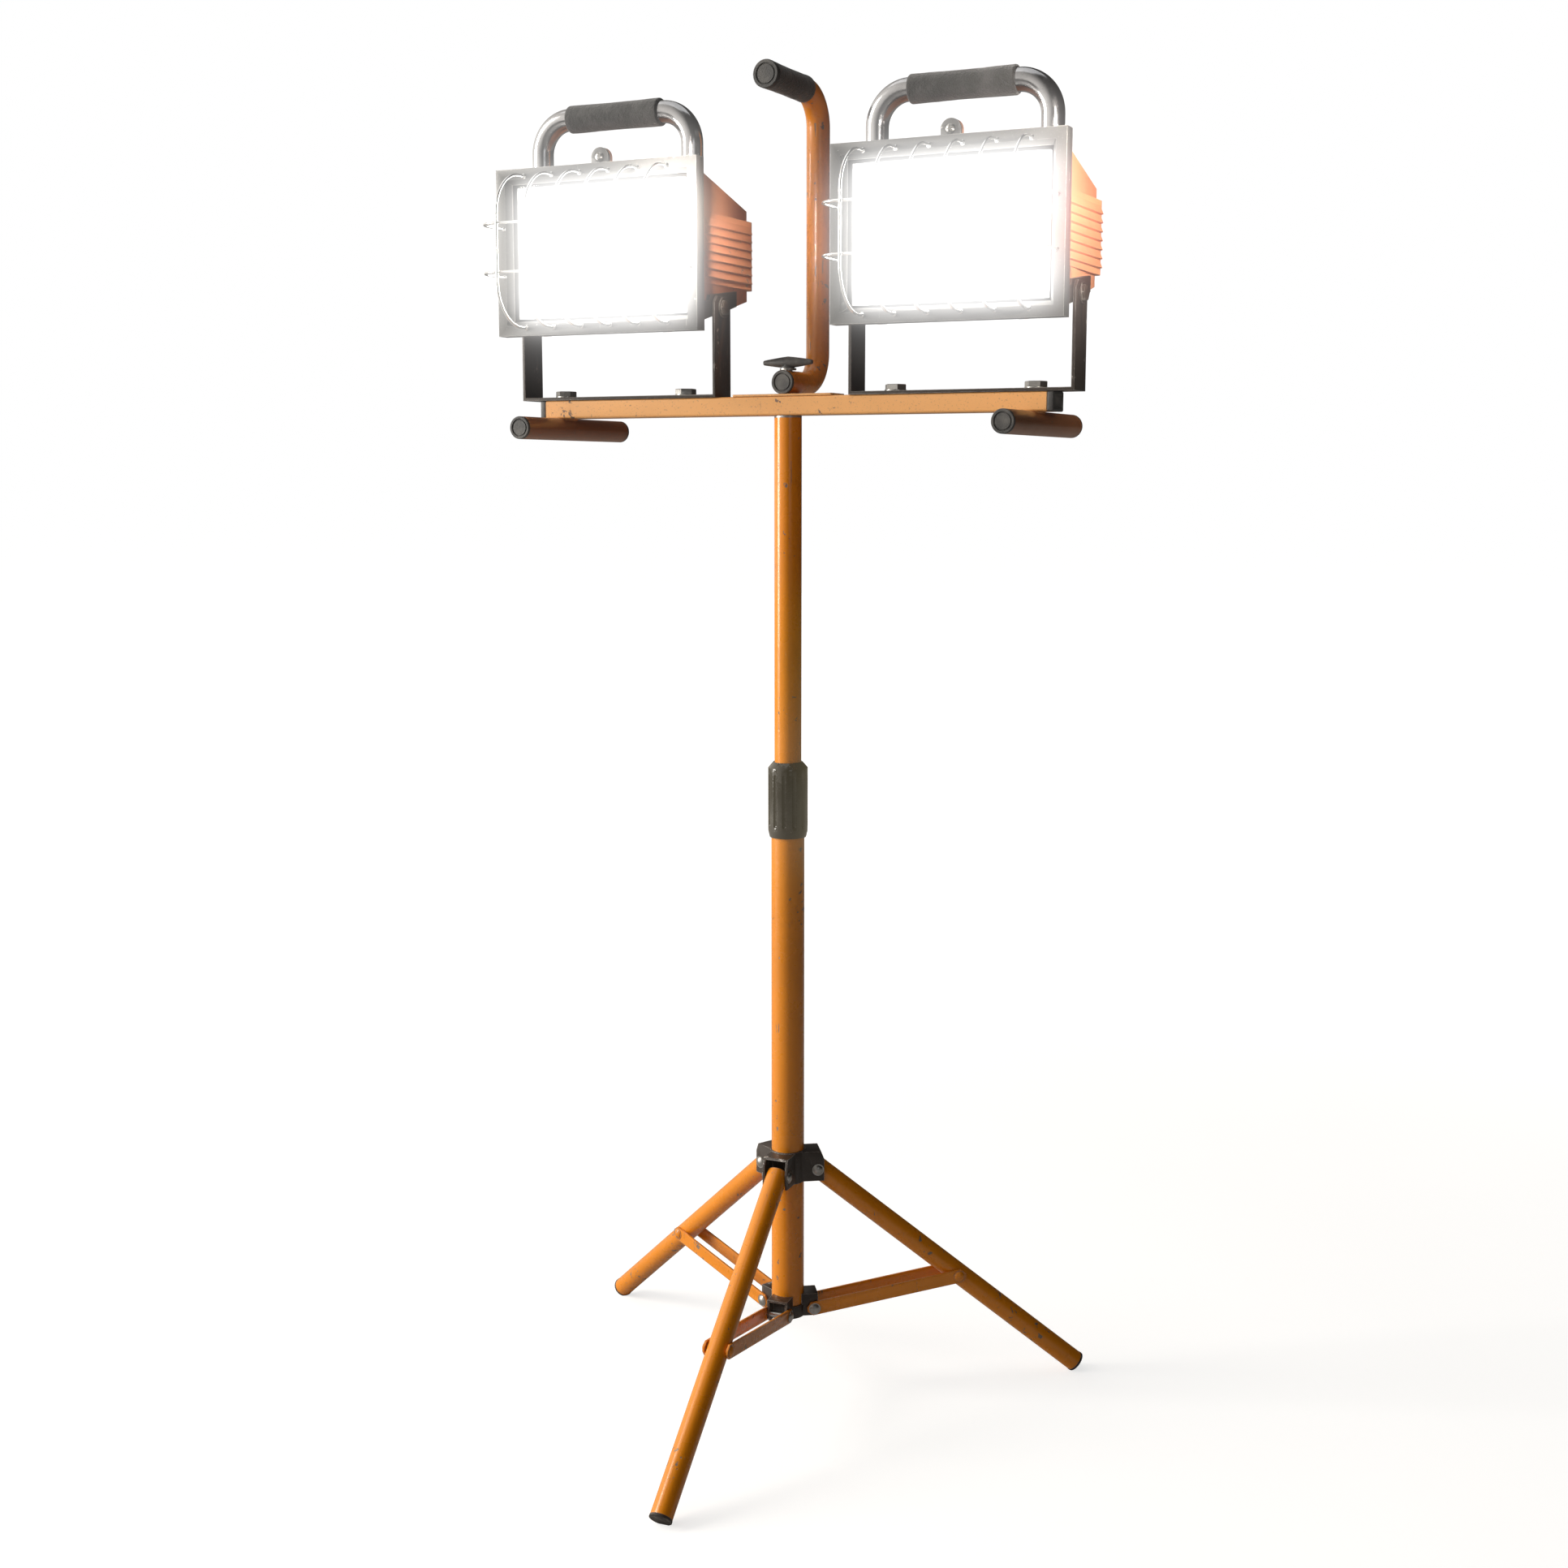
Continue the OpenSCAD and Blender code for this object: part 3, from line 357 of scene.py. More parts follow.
# %% Painted finishes
# After the colour and the primer: chips, scratches, edge wear, speckle, gloss, seed, coat, depth.
grey_primer = (0.17, 0.13, 0.10, 1)
bare_steel = (0.30, 0.28, 0.26, 1)
painted("tripod_paint", (0.76, 0.245, 0.004, 1), grey_primer, 0.42, 0.9, 0.35, 0.10, 0.20, 0.0)
# rest_paint is the tripod's orange paint made darker and browner: painted shade on the rest tubes, which sit under
# the bar.
painted("rest_paint", (0.33, 0.13, 0.055, 1), grey_primer, 0.30, 0.6, 0.30, 0.15, 0.30, 6.4)
painted("bar_paint", (0.82, 0.40, 0.13, 1), (0.13, 0.085, 0.06, 1), 0.45, 0.5, 0.75, 0.35, 0.30, 3.1)
cast_primer = (0.24, 0.20, 0.17, 1)
painted("cast_orange", (0.62, 0.25, 0.12, 1), cast_primer, 0.12, 0.2, 0.30, 0.10, 0.34, 5.7, 0.15, 0.0004)
worn_grey = (0.42, 0.41, 0.40, 1)
painted("bezel_grey", (0.11, 0.11, 0.108, 1), worn_grey, 0.12, 0.25, 0.40, 0.12, 0.38, 8.3, 0.1)
painted("dark_steel", (0.036, 0.025, 0.018, 1), bare_steel, 0.25, 0.5, 0.45, 0.10, 0.34, 11.9, 0.2)
print("painted finishes:", len(made_materials))

# %% Moulded finishes
# After the colour: grain size, dust, roughness, depth.
moulded("black_plastic", (0.022, 0.021, 0.020, 1), 0.0009, 0.18, 0.46, 0.00010)
moulded("ring_plastic", (0.016, 0.014, 0.013, 1), 0.0022, 0.10, 0.17, 0.00005, Coat_Weight=0.35)
moulded("cap_plastic", (0.052, 0.051, 0.050, 1), 0.0008, 0.22, 0.48, 0.00012)
moulded("foot_rubber", (0.030, 0.024, 0.020, 1), 0.0012, 0.55, 0.66, 0.00020)
moulded("seal_rubber", (0.030, 0.030, 0.030, 1), 0.0010, 0.10, 0.55, 0.00010)
moulded("ceramic", (0.78, 0.75, 0.68, 1), 0.0007, 0.20, 0.42, 0.00008)
print("moulded finishes:", len(made_materials))

# %% Plated finishes
# After the colour: stretch, tarnish, roughness, depth.
plated("zinc", (0.46, 0.45, 0.43, 1), (1, 1, 0.05), 0.55, 0.22, 0.00006)
plated("guard_wire", (0.80, 0.80, 0.79, 1), (1, 1, 0.08), 0.20, 0.10, 0.00002)
plated("handle_steel", (0.50, 0.50, 0.51, 1), (0.05, 1, 1), 0.35, 0.10, 0.00002)
print("plated finishes:", len(made_materials))

# %% [markdown]
# ## Foam
# The grips are closed-cell foam: matt, dark grey, full of tiny open cells, paler where hands have
# rubbed it. The open cells are darkened with painted shade. A soft sheen stands for the fuzz of the cut
# cells. Two sizes of cell keep the surface from looking like a pattern.

# %% Foam material
tree, shader = material("foam", Sheen_Weight=0.35, Sheen_Roughness=0.5, Roughness=0.92)
where = add(tree, "TexCoord").outputs["Object"]
cells = add(tree, "TexVoronoi", None, Vector=where, Scale=850.0).outputs["Distance"]
coarse_cells = add(tree, "TexVoronoi", None, Vector=where, Scale=300.0).outputs["Distance"]
open_cells = step_mask(tree, cells, 0.42, 0.1)
rubbed_foam = step_mask(tree, noise_at(tree, where, 0.025, 5.0, 0.6), 0.42, 0.7)
foam_colour = mix_colour(tree, rubbed_foam, (0.048, 0.047, 0.046, 1), (0.085, 0.083, 0.081, 1))
# Painted shade: the open cells are darkened in colour, as if shade fell inside them.
cell_shade_share = math_node(tree, "MULTIPLY", open_cells, 0.55)
foam_colour = mix_colour(tree, cell_shade_share, foam_colour, (0.012, 0.012, 0.012, 1))
tree.links.new(foam_colour, shader.inputs["Base Color"])
foam_height = math_node(tree, "ADD", cells, coarse_cells)
raise_by(tree, shader, foam_height, 0.00035)
print("foam ready")

# %% [markdown]
# ## Light, reflector and glass
# The heads are switched on. A real lamp is far brighter than anything near it, so the camera sees its
# tube, the dimpled reflector behind it and the glass in front as one white field. The lamp gives off
# light, and the reflector glows as well though it is no lamp: its glow is painted light, standing for
# the lamp's light in it. The glass only lets the light through, so the door can swing open and still
# look right. The reflector's dimples come from rounded cells, and its painted glow is whitest in their middles.

# %% Lamp, reflector and glass
tree, shader = material("lamp_quartz", Roughness=0.08, Base_Color=(1, 0.97, 0.9, 1), Emission_Strength=14.0)
where = add(tree, "TexCoord").outputs["Object"]
flicker = noise_at(tree, where, 0.006, 2.0)
warm_white = mix_colour(tree, flicker, (1, 0.93, 0.80, 1), (1, 0.98, 0.92, 1))
tree.links.new(warm_white, shader.inputs["Emission Color"])

# Painted light: the reflector glows by itself, standing for the lamp light it reflects; the glow is whiter in each
# dimple's middle.
tree, shader = material("reflector_sheet", Metallic=1.0, Base_Color=(0.9, 0.9, 0.9, 1), Emission_Strength=2.6)
where = add(tree, "TexCoord").outputs["Object"]
dimples = add(tree, "TexVoronoi", {"feature": "SMOOTH_F1"}, Vector=where, Scale=160.0).outputs["Distance"]
tree.links.new(mix_colour(tree, step_mask(tree, dimples, 0.1, 0.7), (1, 1, 1, 1), (0.88, 0.86, 0.80, 1)),
               shader.inputs["Emission Color"])
tree.links.new(math_node(tree, "MULTIPLY", dimples, 0.35), shader.inputs["Roughness"])
raise_by(tree, shader, dimples, 0.0012)

tree, shader = material("front_glass", Transmission_Weight=1.0, IOR=1.45, Alpha=0.35)
where = add(tree, "TexCoord").outputs["Object"]
haze = step_mask(tree, noise_at(tree, where, 0.03, 6.0, 0.6), 0.5, 0.8)
tree.links.new(mix_colour(tree, haze, (1, 1, 1, 1), (0.93, 0.92, 0.89, 1)), shader.inputs["Base Color"])
tree.links.new(math_node(tree, "MULTIPLY", haze, 0.08), shader.inputs["Roughness"])
print("materials:", len(made_materials))

# %% [markdown]
# ## Finishes on the model's own parts
# Tubes, wires and inner parts already have their true shape, so they stay and only change material.
# Each one's slot in the material list says which finish it gets.

# %% Giving every part its finish
for name, node in frame["nodes"].items():
    node.data.materials.clear()
    node.data.materials.append(made_materials[slot_of[name]])
print("parts with a finish:", len(frame["nodes"]))

# %% [markdown]
# ## Shaping helpers
# Three ways of making a shape cover almost everything here. A turned part is spun from a half outline.
# A pressed or moulded part is a copy of the model's own part with its corners merged and its sharp
# edges rounded. A weld or a wire joint is a small bead. Each new piece then rides on the body of the
# part it belongs to, so it moves with that part's joint.


# %% Shaping helpers
def aimed(place, axis):
    """A transform that turns +Z to an axis and moves the origin to a place."""
    turn = Vector(axis).to_track_quat("Z", "Y").to_matrix().to_4x4()
    return Matrix.Translation(place) @ turn


def add_part(whole, part, transform=None):
    """Moves one shape into another and frees it."""
    if transform is not None:
        bmesh.ops.transform(part, matrix=transform, verts=part.verts)
    carrier = bpy.data.meshes.new("carrier")
    part.to_mesh(carrier)
    part.free()
    whole.from_mesh(carrier)
    bpy.data.meshes.remove(carrier)


def ease_edges(shape, radius, segments=2, sharper_than=32):
    """Rounds the edges at which two faces meet at more than an angle."""
    limit = math.radians(sharper_than)
    edges = [e for e in shape.edges if len(e.link_faces) == 2 and e.calc_face_angle(0) > limit]
    bmesh.ops.bevel(shape, geom=edges, offset=radius, offset_type="OFFSET", affect="EDGES",
                    segments=segments, profile=0.5, material=-1, clamp_overlap=True)


def turned(outline, steps=32, ease=0.0):
    """A closed body of revolution about Z from (height, radius) points, both in millimetres."""
    shape = bmesh.new()
    points = [shape.verts.new((radius * mm, 0, height * mm)) for height, radius in outline]
    lines = [shape.edges.new(pair) for pair in zip(points, points[1:])]
    bmesh.ops.spin(shape, geom=points + lines, cent=(0, 0, 0), axis=(0, 0, 1), angle=2 * math.pi,
                   steps=steps, use_merge=True)
    bmesh.ops.remove_doubles(shape, verts=shape.verts, dist=1e-6)
    bmesh.ops.recalc_face_normals(shape, faces=shape.faces)
    if ease:
        ease_edges(shape, ease * mm)
    return shape


def block(low, high, ease=0.5, segments=2):
    """A box between two corners, in metres, with eased edges."""
    shape = bmesh.new()
    bmesh.ops.create_cube(shape, size=1)
    low, high = Vector(low), Vector(high)
    bmesh.ops.scale(shape, vec=high - low, verts=shape.verts)
    bmesh.ops.translate(shape, vec=(low + high) / 2, verts=shape.verts)
    if ease:
        ease_edges(shape, ease * mm, segments)
    return shape


def merged_copy(node):
    """A copy of a part's mesh with its loose triangles joined and flat areas made single faces."""
    shape = bmesh.new()
    shape.from_mesh(frame["nodes"][node].data)
    bmesh.ops.remove_doubles(shape, verts=shape.verts, dist=0.01 * mm)
    bmesh.ops.dissolve_limit(shape, angle_limit=math.radians(0.4), verts=shape.verts, edges=shape.edges)
    return shape


def finish_piece(name, shape, like, replaces=True, slot=None, smooth_under=34):
    """Makes a shape a piece that rides and shines like one of the model's parts."""
    mesh = bpy.data.meshes.new(name)
    shape.to_mesh(mesh)
    shape.free()
    slot = slot or slot_of[like]
    mesh.materials.append(made_materials[slot])
    for face in mesh.polygons:
        face.use_smooth = True
    mesh.set_sharp_from_angle(angle=math.radians(smooth_under))
    obj = bpy.data.objects.new(name, mesh)
    bpy.context.scene.collection.objects.link(obj)
    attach(obj, body_of[like])
    if replaces:
        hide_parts(like)
    return obj


def middle(node):
    """Middle of the box round one of the model's parts."""
    low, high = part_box(node)
    return (low + high) / 2


print("shaping helpers ready")

# %% [markdown]
# ## Pressed and cast parts
# No pressed bracket, casting or moulding has a perfectly sharp edge, and it is the thin bright line
# along a rounded edge that makes metal look like metal. Each of these parts is a merged copy of the
# model's own with its edges rounded by what its making would leave: little on sheet steel, more on
# castings and mouldings.

# %% Rounding the edges of pressed and cast parts
edge_radius = {"saddle_plate": 0.5, "bottom_hub": 0.45, "leg_collar": 0.45,
               "lock_ring": 0.6, "grip_wedge": 0.3}
for side, way in sides:
    edge_radius.update({"yoke_" + side: 0.6, "bezel_" + side: 1.1, "housing_" + side: 1.2,
                        "lamp_holders_" + side: 0.6, "glass_" + side: 0.5})
for k in (1, 2, 3):
    edge_radius["foot_cap_%d" % k] = 0.9
for node, radius in edge_radius.items():
    shape = merged_copy(node)
    ease_edges(shape, radius * mm)
    made = finish_piece(node + "_eased", shape, node)
    print(node, "->", len(made.data.polygons), "faces")

# %% [markdown]
# ## Finned side covers
# Each head has a cover on both sides, cast in one with a row of slats. A slat is a sloping face: it
# stands out at its lower edge and falls back to the cover at its upper edge, so rain and dust run off
# and warm air gets out. Cutting the cover's outer face into strips and pulling the lower edge of each
# strip outwards gives just that, with real shadows under every slat.


# %% Side covers
def cut_through(shape, place, normal):
    """Adds the edges along which a plane crosses a shape."""
    everything = shape.verts[:] + shape.edges[:] + shape.faces[:]
    bmesh.ops.bisect_plane(shape, geom=everything, plane_co=place, plane_no=normal)


def slatted_cover(node, side_way, slats=7, slat_rise=3.0):
    """A rounded block with sloping slats on its outer face, made for +X and mirrored for -X."""
    low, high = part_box(node)
    half_x = (high.x - low.x) / 2
    centre_x = (low.x + high.x) / 2
    inner = 91.4 * mm
    outer = half_x - (slat_rise + 0.2) * mm
    flange_inner = 70 * mm
    flange = 5.8 * mm
    shape = block((inner, low.y, low.z), (outer, high.y, high.z), 0)
    rear = [e for e in shape.edges if min(v.co.x for v in e.verts) > inner + 1 * mm
            and min(v.co.y for v in e.verts) > high.y - 1 * mm]
    bmesh.ops.bevel(shape, geom=rear, offset=5 * mm, offset_type="OFFSET", affect="EDGES", segments=2,
                    profile=0.5, material=-1, clamp_overlap=True)
    front, back = low.y + 15 * mm, high.y - 8 * mm
    foot, top = low.z + 5 * mm, high.z - 5 * mm
    pitch = (top - foot) / slats
    cut_through(shape, (0, front, 0), (0, 1, 0))
    cut_through(shape, (0, back, 0), (0, 1, 0))
    for i in range(slats + 1):
        cut_through(shape, (0, 0, foot + i * pitch), (0, 0, 1))
    strips = [f for f in shape.faces if f.normal.x > 0.99 and foot < f.calc_center_median().z < top
              and front < f.calc_center_median().y < back]
    raised = bmesh.ops.extrude_discrete_faces(shape, faces=strips)["faces"]
    for strip in raised:
        lowest = min(v.co.z for v in strip.verts)
        for vert in strip.verts:
            at_foot = vert.co.z < lowest + pitch / 2
            vert.co.x += (slat_rise if at_foot else 0.15) * mm
            vert.co.z += (0.6 if at_foot else -0.3) * mm
            vert.co.y += (0.5 if vert.co.y < (front + back) / 2 else -0.5) * mm
    bmesh.ops.remove_doubles(shape, verts=shape.verts, dist=1e-6)
    ease_edges(shape, 0.35 * mm, 2, 25)
    add_part(shape, block((flange_inner, high.y - flange, low.z), (inner + 2 * mm, high.y, high.z), 1.0))
    bmesh.ops.scale(shape, vec=(side_way, 1, 1), verts=shape.verts)
    bmesh.ops.translate(shape, vec=(centre_x, 0, 0), verts=shape.verts)
    bmesh.ops.recalc_face_normals(shape, faces=shape.faces)
    return shape


for side, way in sides:
    covers = bmesh.new()
    for side_way in (-1, 1):
        add_part(covers, slatted_cover("side_covers_" + side, side_way))
    made = finish_piece("side_covers_" + side + "_slatted", covers, "side_covers_" + side, smooth_under=25)
    print(made.name, len(made.data.polygons), "faces")

# %% [markdown]
# ## Rivets, pins and screws
# The legs and braces turn on steel rivets. A driven rivet has a low dome, a narrow step round it and a
# washer below, which the light picks out as two rings. The joints of the model say where each rivet
# sits and which way it points, so nothing is placed by eye.


# %% Rivets of the collar and of the hub
def rivet_head(radius, height):
    """A domed head over a thin washer, standing on Z = 0."""
    outline = [(0, radius + 1.1), (0.5, radius + 1.1), (0.5, radius + 0.1), (0.9, radius),
               (height * 0.6, radius * 0.82), (height * 0.9, radius * 0.45), (height, 0)]
    return turned([(0, 0)] + outline, 28)


def rivet_pair(shape, place, axis, half, radius=4.6, height=2.6):
    """A shank along an axis with a head at each end."""
    axis = Vector(axis).normalized()
    add_part(shape, turned([(-half, 0), (-half, 2.95), (half, 2.95), (half, 0)], 24), aimed(place, axis))
    for end in (-1, 1):
        add_part(shape, rivet_head(radius, height), aimed(Vector(place) + axis * end * half * mm, axis * end))


for node, hinge, half in (("leg_pins", "leg_hinge_%d", 12.4), ("hub_pins", "brace_hinge_%d", 12.7)):
    pins = bmesh.new()
    for k in (1, 2, 3):
        rivet_pair(pins, joint[hinge % k]["pos_m"], joint[hinge % k]["axis"], half)
    made = finish_piece(node + "_domed", pins, node)
    print(made.name, len(made.data.polygons), "faces")

# %% [markdown]
# ## Brace strips
# A brace is a pair of flat strips. In the model each strip is one piece with the plain head of its
# short rivet, so that head is cut away first. The strips are then eased and get the domed heads the
# other joints have. The cut heads also tell where the rivet is.


# %% Brace strips
def centre_of(points):
    """Middle of the box round some points."""
    lows = Vector([min(p[i] for p in points) for i in range(3)])
    highs = Vector([max(p[i] for p in points) for i in range(3)])
    return (lows + highs) / 2


for k in (1, 2, 3):
    node = "brace_%d" % k
    strips = merged_copy(node)
    hinge_at = Vector(joint["brace_hinge_%d" % k]["pos_m"])
    axis = Vector(joint["brace_hinge_%d" % k]["axis"]).normalized()
    heads = [v for v in strips.verts if abs((v.co - hinge_at).dot(axis)) > 12.45 * mm]
    rivet_at = centre_of([v.co - axis * (v.co - hinge_at).dot(axis) for v in heads])
    bmesh.ops.delete(strips, geom=heads, context="VERTS")
    ease_edges(strips, 0.35 * mm)
    for end in (-1, 1):
        add_part(strips, rivet_head(4.6, 2.6), aimed(rivet_at + axis * end * 12.4 * mm, axis * end))
    made = finish_piece(node + "_strips", strips, node)
    print(made.name, "rivet to hinge, mm:", round((rivet_at - hinge_at).length / mm, 1))

# %% [markdown]
# ## Ears and tilt bolts
# Under each side cover a steel ear takes the bolt on which the head tilts. The bolt has a flat washer
# and a domed nut outside the yoke. The ears are kept from the model, the bolts are turned anew.


# %% Ears and tilt bolts
def islands(shape):
    """Lists of vertices, one for each separate body in a mesh."""
    left, found = set(shape.verts), []
    while left:
        seed = left.pop()
        group, front = {seed}, [seed]
        while front:
            for edge in front.pop().link_edges:
                for vert in edge.verts:
                    if vert not in group:
                        group.add(vert)
                        front.append(vert)
        left -= group
        found.append(list(group))
    return found


for side, way in sides:
    node = "tilt_mounts_" + side
    ears = merged_copy(node)
    bolts = [group for group in islands(ears)
             if max(v.co.y for v in group) - min(v.co.y for v in group) < 22 * mm]
    bmesh.ops.delete(ears, geom=[v for group in bolts for v in group], context="VERTS")
    ease_edges(ears, 0.45 * mm)
    pivot = Vector(joint["tilt_" + side]["pos_m"])
    low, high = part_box("yoke_" + side)
    reach = (high.x - low.x) / 2 / mm
    for end in (-1, 1):
        out = aimed(pivot, (end, 0, 0))
        add_part(ears, turned([(82, 0), (82, 4), (reach + 1, 4), (reach + 1, 0)], 28), out)
        washer = turned([(reach + 0.3, 0), (reach + 0.3, 9), (reach + 1.7, 9), (reach + 1.7, 0)], 40, 0.2)
        add_part(ears, washer, out)
        nut = turned([(reach + 1.7, 0), (reach + 1.7, 7.2), (reach + 4.0, 7.2), (reach + 4.9, 6.2),
                      (reach + 5.3, 4.4), (reach + 5.3, 0)], 6)
        add_part(ears, nut, out)
    made = finish_piece(node + "_turned", ears, node)
    print(made.name, "bolts taken off:", len(bolts), "faces:", len(made.data.polygons))

# %% [markdown]
# ## Hexagon bolts of the yokes
# Four bolts hold the yokes. A forged head is a hexagon whose top corners are cut by a cone, with a
# washer below. Spinning with six steps makes the hexagon, and a shallow bevel on its top edges the cone.
# The nuts of the two inner bolts sit inside the crossbar, out of sight.


# %% Yoke bolts
def hexagon(z0, z1, flats, ease=0.7):
    """A hexagon prism with its upper corners cut."""
    corner = flats / math.sqrt(3)
    shape = turned([(z0, 0), (z0, corner), (z1, corner), (z1, 0)], 6)
    top = [e for e in shape.edges if min(v.co.z for v in e.verts) > (z1 - 0.01) * mm
           and len(e.link_faces) == 2 and e.calc_face_angle(0) > 1]
    bmesh.ops.bevel(shape, geom=top, offset=ease * mm, offset_type="OFFSET", affect="EDGES", segments=2,
                    profile=0.5, material=-1, clamp_overlap=True)
    return shape


bolts = bmesh.new()
strap_thickness = 2.8
bar_wall = 1.6
nut_flats = 17
strap_top = (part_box("saddle_plate")[0].z / mm) + strap_thickness
bar_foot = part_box("crossbar")[0].z / mm
bar_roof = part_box("crossbar")[1].z / mm - bar_wall
head_at = {side: middle("glass_" + side).x / mm for side, way in sides}
rest_at = {side: middle("rest_tube_" + side).x / mm for side, way in sides}
for side, way in sides:
    inner_x = 2 * head_at[side] - rest_at[side]
    for x in (inner_x, rest_at[side]):
        spot_at = aimed((x * mm, 0, 0), (0, 0, 1))
        seat = strap_top + 1.2
        add_part(bolts, turned([(strap_top, 0), (strap_top, 9.8), (seat, 9.8), (seat, 0)], 36, 0.2), spot_at)
        turn = Matrix.Rotation(0.3 + x, 4, "Z")
        add_part(bolts, hexagon(seat, strap_top + 6.0, nut_flats), spot_at @ turn)
        foot = bar_roof - 7 if x == inner_x else bar_foot - 14
        shank = [(foot, 0), (foot, 4.2), (foot + 0.8, 4.95), (strap_top, 4.95), (strap_top, 0)]
        add_part(bolts, turned(shank, 28), spot_at)
    inner_nut = hexagon(bar_roof - 6, bar_roof, nut_flats, 0.4)
    add_part(bolts, inner_nut, aimed((inner_x * mm, 0, 0), (0, 0, 1)))
made = finish_piece("yoke_bolts_forged", bolts, "yoke_bolts")
print(made.name, len(made.data.polygons), "faces")

# %% [markdown]
# ## Tube caps
# The open ends of the tubes carry moulded caps: a rim, a narrow groove and a disc in the middle. The
# carrying handle's grip ends in a larger one. The crossbar's ends have rectangular plugs.


# %% Tube caps
def round_cap(radius, depth):
    """A cap whose face looks along +Z and whose back is at Z = 0."""
    disc = radius * 0.68
    outline = [(0, 0), (0, radius), (depth - 0.5, radius), (depth, radius - 0.7), (depth, disc + 1.1),
               (depth - 1.0, disc + 0.7), (depth - 1.0, disc), (depth - 0.2, disc - 0.3), (depth - 0.2, 0)]
    return turned(outline, 40)


caps = bmesh.new()
bar_low, bar_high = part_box("crossbar")
for way in (-1, 1):
    edge_x = bar_high.x if way > 0 else bar_low.x
    near, far = edge_x, edge_x + way * 6 * mm
    plug = block((min(near, far), bar_low.y, bar_low.z), (max(near, far), bar_high.y, bar_high.z), 1.3, 3)
    outer_face = max(plug.faces, key=lambda f: f.calc_center_median().x * way)
    bmesh.ops.inset_individual(plug, faces=[outer_face], thickness=2.4 * mm)
    bmesh.ops.inset_individual(plug, faces=[outer_face], thickness=0.5 * mm, depth=-0.8 * mm)
    add_part(caps, plug)
for side, way in sides:
    low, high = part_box("rest_tube_" + side)
    centre = (low + high) / 2
    radius = (high.x - low.x) / 2 / mm
    for edge_y, out in ((low.y, -1), (high.y, 1)):
        axis_z = low.z + radius * mm
        add_part(caps, round_cap(radius, 2.5), aimed((centre.x, edge_y, axis_z), (0, out, 0)))
tube_low, tube_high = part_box("handle_tube")
tube_radius = (tube_high.x - tube_low.x) / 2 / mm
foot_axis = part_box("saddle_plate")[1].z + (tube_radius - 0.4) * mm
add_part(caps, round_cap(tube_radius, 2.5), aimed((0, -10 * mm, foot_axis), (0, -1, 0)))
grip_axis = tube_high.z - tube_radius * mm
grip_radius = (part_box("handle_foam")[1].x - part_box("handle_foam")[0].x) / 2 / mm
add_part(caps, round_cap(grip_radius, 3.5), aimed((0, tube_low.y, grip_axis), (0, -1, 0)))
made = finish_piece("end_caps_moulded", caps, "end_caps")
print(made.name, len(made.data.polygons), "faces, grip radius", round(grip_radius, 2))

# %% [markdown]
# ## Hand knob
# The clamp's knob is a pair of wings moulded round the screw's collar, thick in the middle and tapering
# to blunt tips, so that two fingers can turn it. One outline spun about X makes the wings, and a second
# one about Z the neck.

# %% Hand knob
low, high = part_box("clamp_knob")
half = (high.x - low.x) / 2 / mm
bar_axis = high.z - 5.4 * mm
wing = [(-half, 0), (-half, 1.5), (-half + 0.6, 2.1), (-half + 4, 2.7)]
wing += [(-half * 0.55, 3.7), (-half * 0.25, 4.7), (0, 5.3)]
wing += [(-x, r) for x, r in reversed(wing[:-1])]
bar_shape = turned(wing, 32, 0.25)
knob = bmesh.new()
add_part(knob, bar_shape, aimed((0, 0, bar_axis), (1, 0, 0)))
foot = low.z / mm
shoulder = bar_axis / mm
neck = turned([(foot, 0), (foot, 6), (foot + 2, 6), (shoulder - 3, 4.8), (shoulder, 4.8), (shoulder, 0)], 32)
add_part(knob, neck)
made = finish_piece("clamp_knob_moulded", knob, "clamp_knob", slot="cap_plastic")
print(made.name, len(made.data.polygons), "faces, half length", round(half, 1))

# %% [markdown]
# ## Foam grips
# Foam gives under the hand. A grip starts as a turned sleeve with rounded ends and enough rings along
# it to bend, and a gentle noise then pushes its surface in and out: it swells near its ends and is
# pressed a little flatter where fingers close round it.


# %% Foam grips
def foam_sleeve(length, radius, bore, seed, rings=44):
    """A sleeve along Z from 0 to length, in millimetres, with soft ends and a worn middle."""
    outline = [(0, bore), (0, radius - 1.6), (0.35, radius - 0.7), (1.1, radius - 0.15), (1.9, radius)]
    outline += [(1.9 + (length - 3.8) * i / rings, radius) for i in range(1, rings)]
    outline += [(length - y, r) for y, r in reversed(outline[:5])]
    sleeve = turned(outline + [(0, bore)], 48)
    for vert in sleeve.verts:
        along = vert.co.z / mm / length
        out = Vector((vert.co.x, vert.co.y, 0))
        if out.length < (bore + 0.5) * mm:
            continue
        held = math.sin(math.pi * min(max(along, 0), 1)) ** 2
        dent = noise.noise(vert.co * 55 + Vector((seed, 0, 0))) * 0.35 + noise.noise(vert.co * 190) * 0.12
        vert.co += out.normalized() * (min(dent, 0.0) - 0.45 * held - 0.12) * mm
    return sleeve


low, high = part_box("handle_foam")
grip_length = (high.y - low.y) / mm
grip = bmesh.new()
sleeve_at = aimed((0, low.y, (low.z + high.z) / 2), (0, 1, 0))
add_part(grip, foam_sleeve(grip_length, grip_radius, tube_radius, 3.0), sleeve_at)
grips = [finish_piece("handle_foam_soft", grip, "handle_foam")]
for side, way in sides:
    low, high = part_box("head_foam_" + side)
    centre = (low + high) / 2
    sleeve_radius = (high.y - low.y) / 2 / mm
    grip = bmesh.new()
    foam_tube = foam_sleeve((high.x - low.x) / mm, sleeve_radius, sleeve_radius - 2.6, 7.0 + way)
    add_part(grip, foam_tube, aimed((low.x, centre.y, centre.z), (1, 0, 0)))
    grips.append(finish_piece("head_foam_" + side + "_soft", grip, "head_foam_" + side))
for grip in grips:
    print(grip.name, len(grip.data.polygons), "faces")

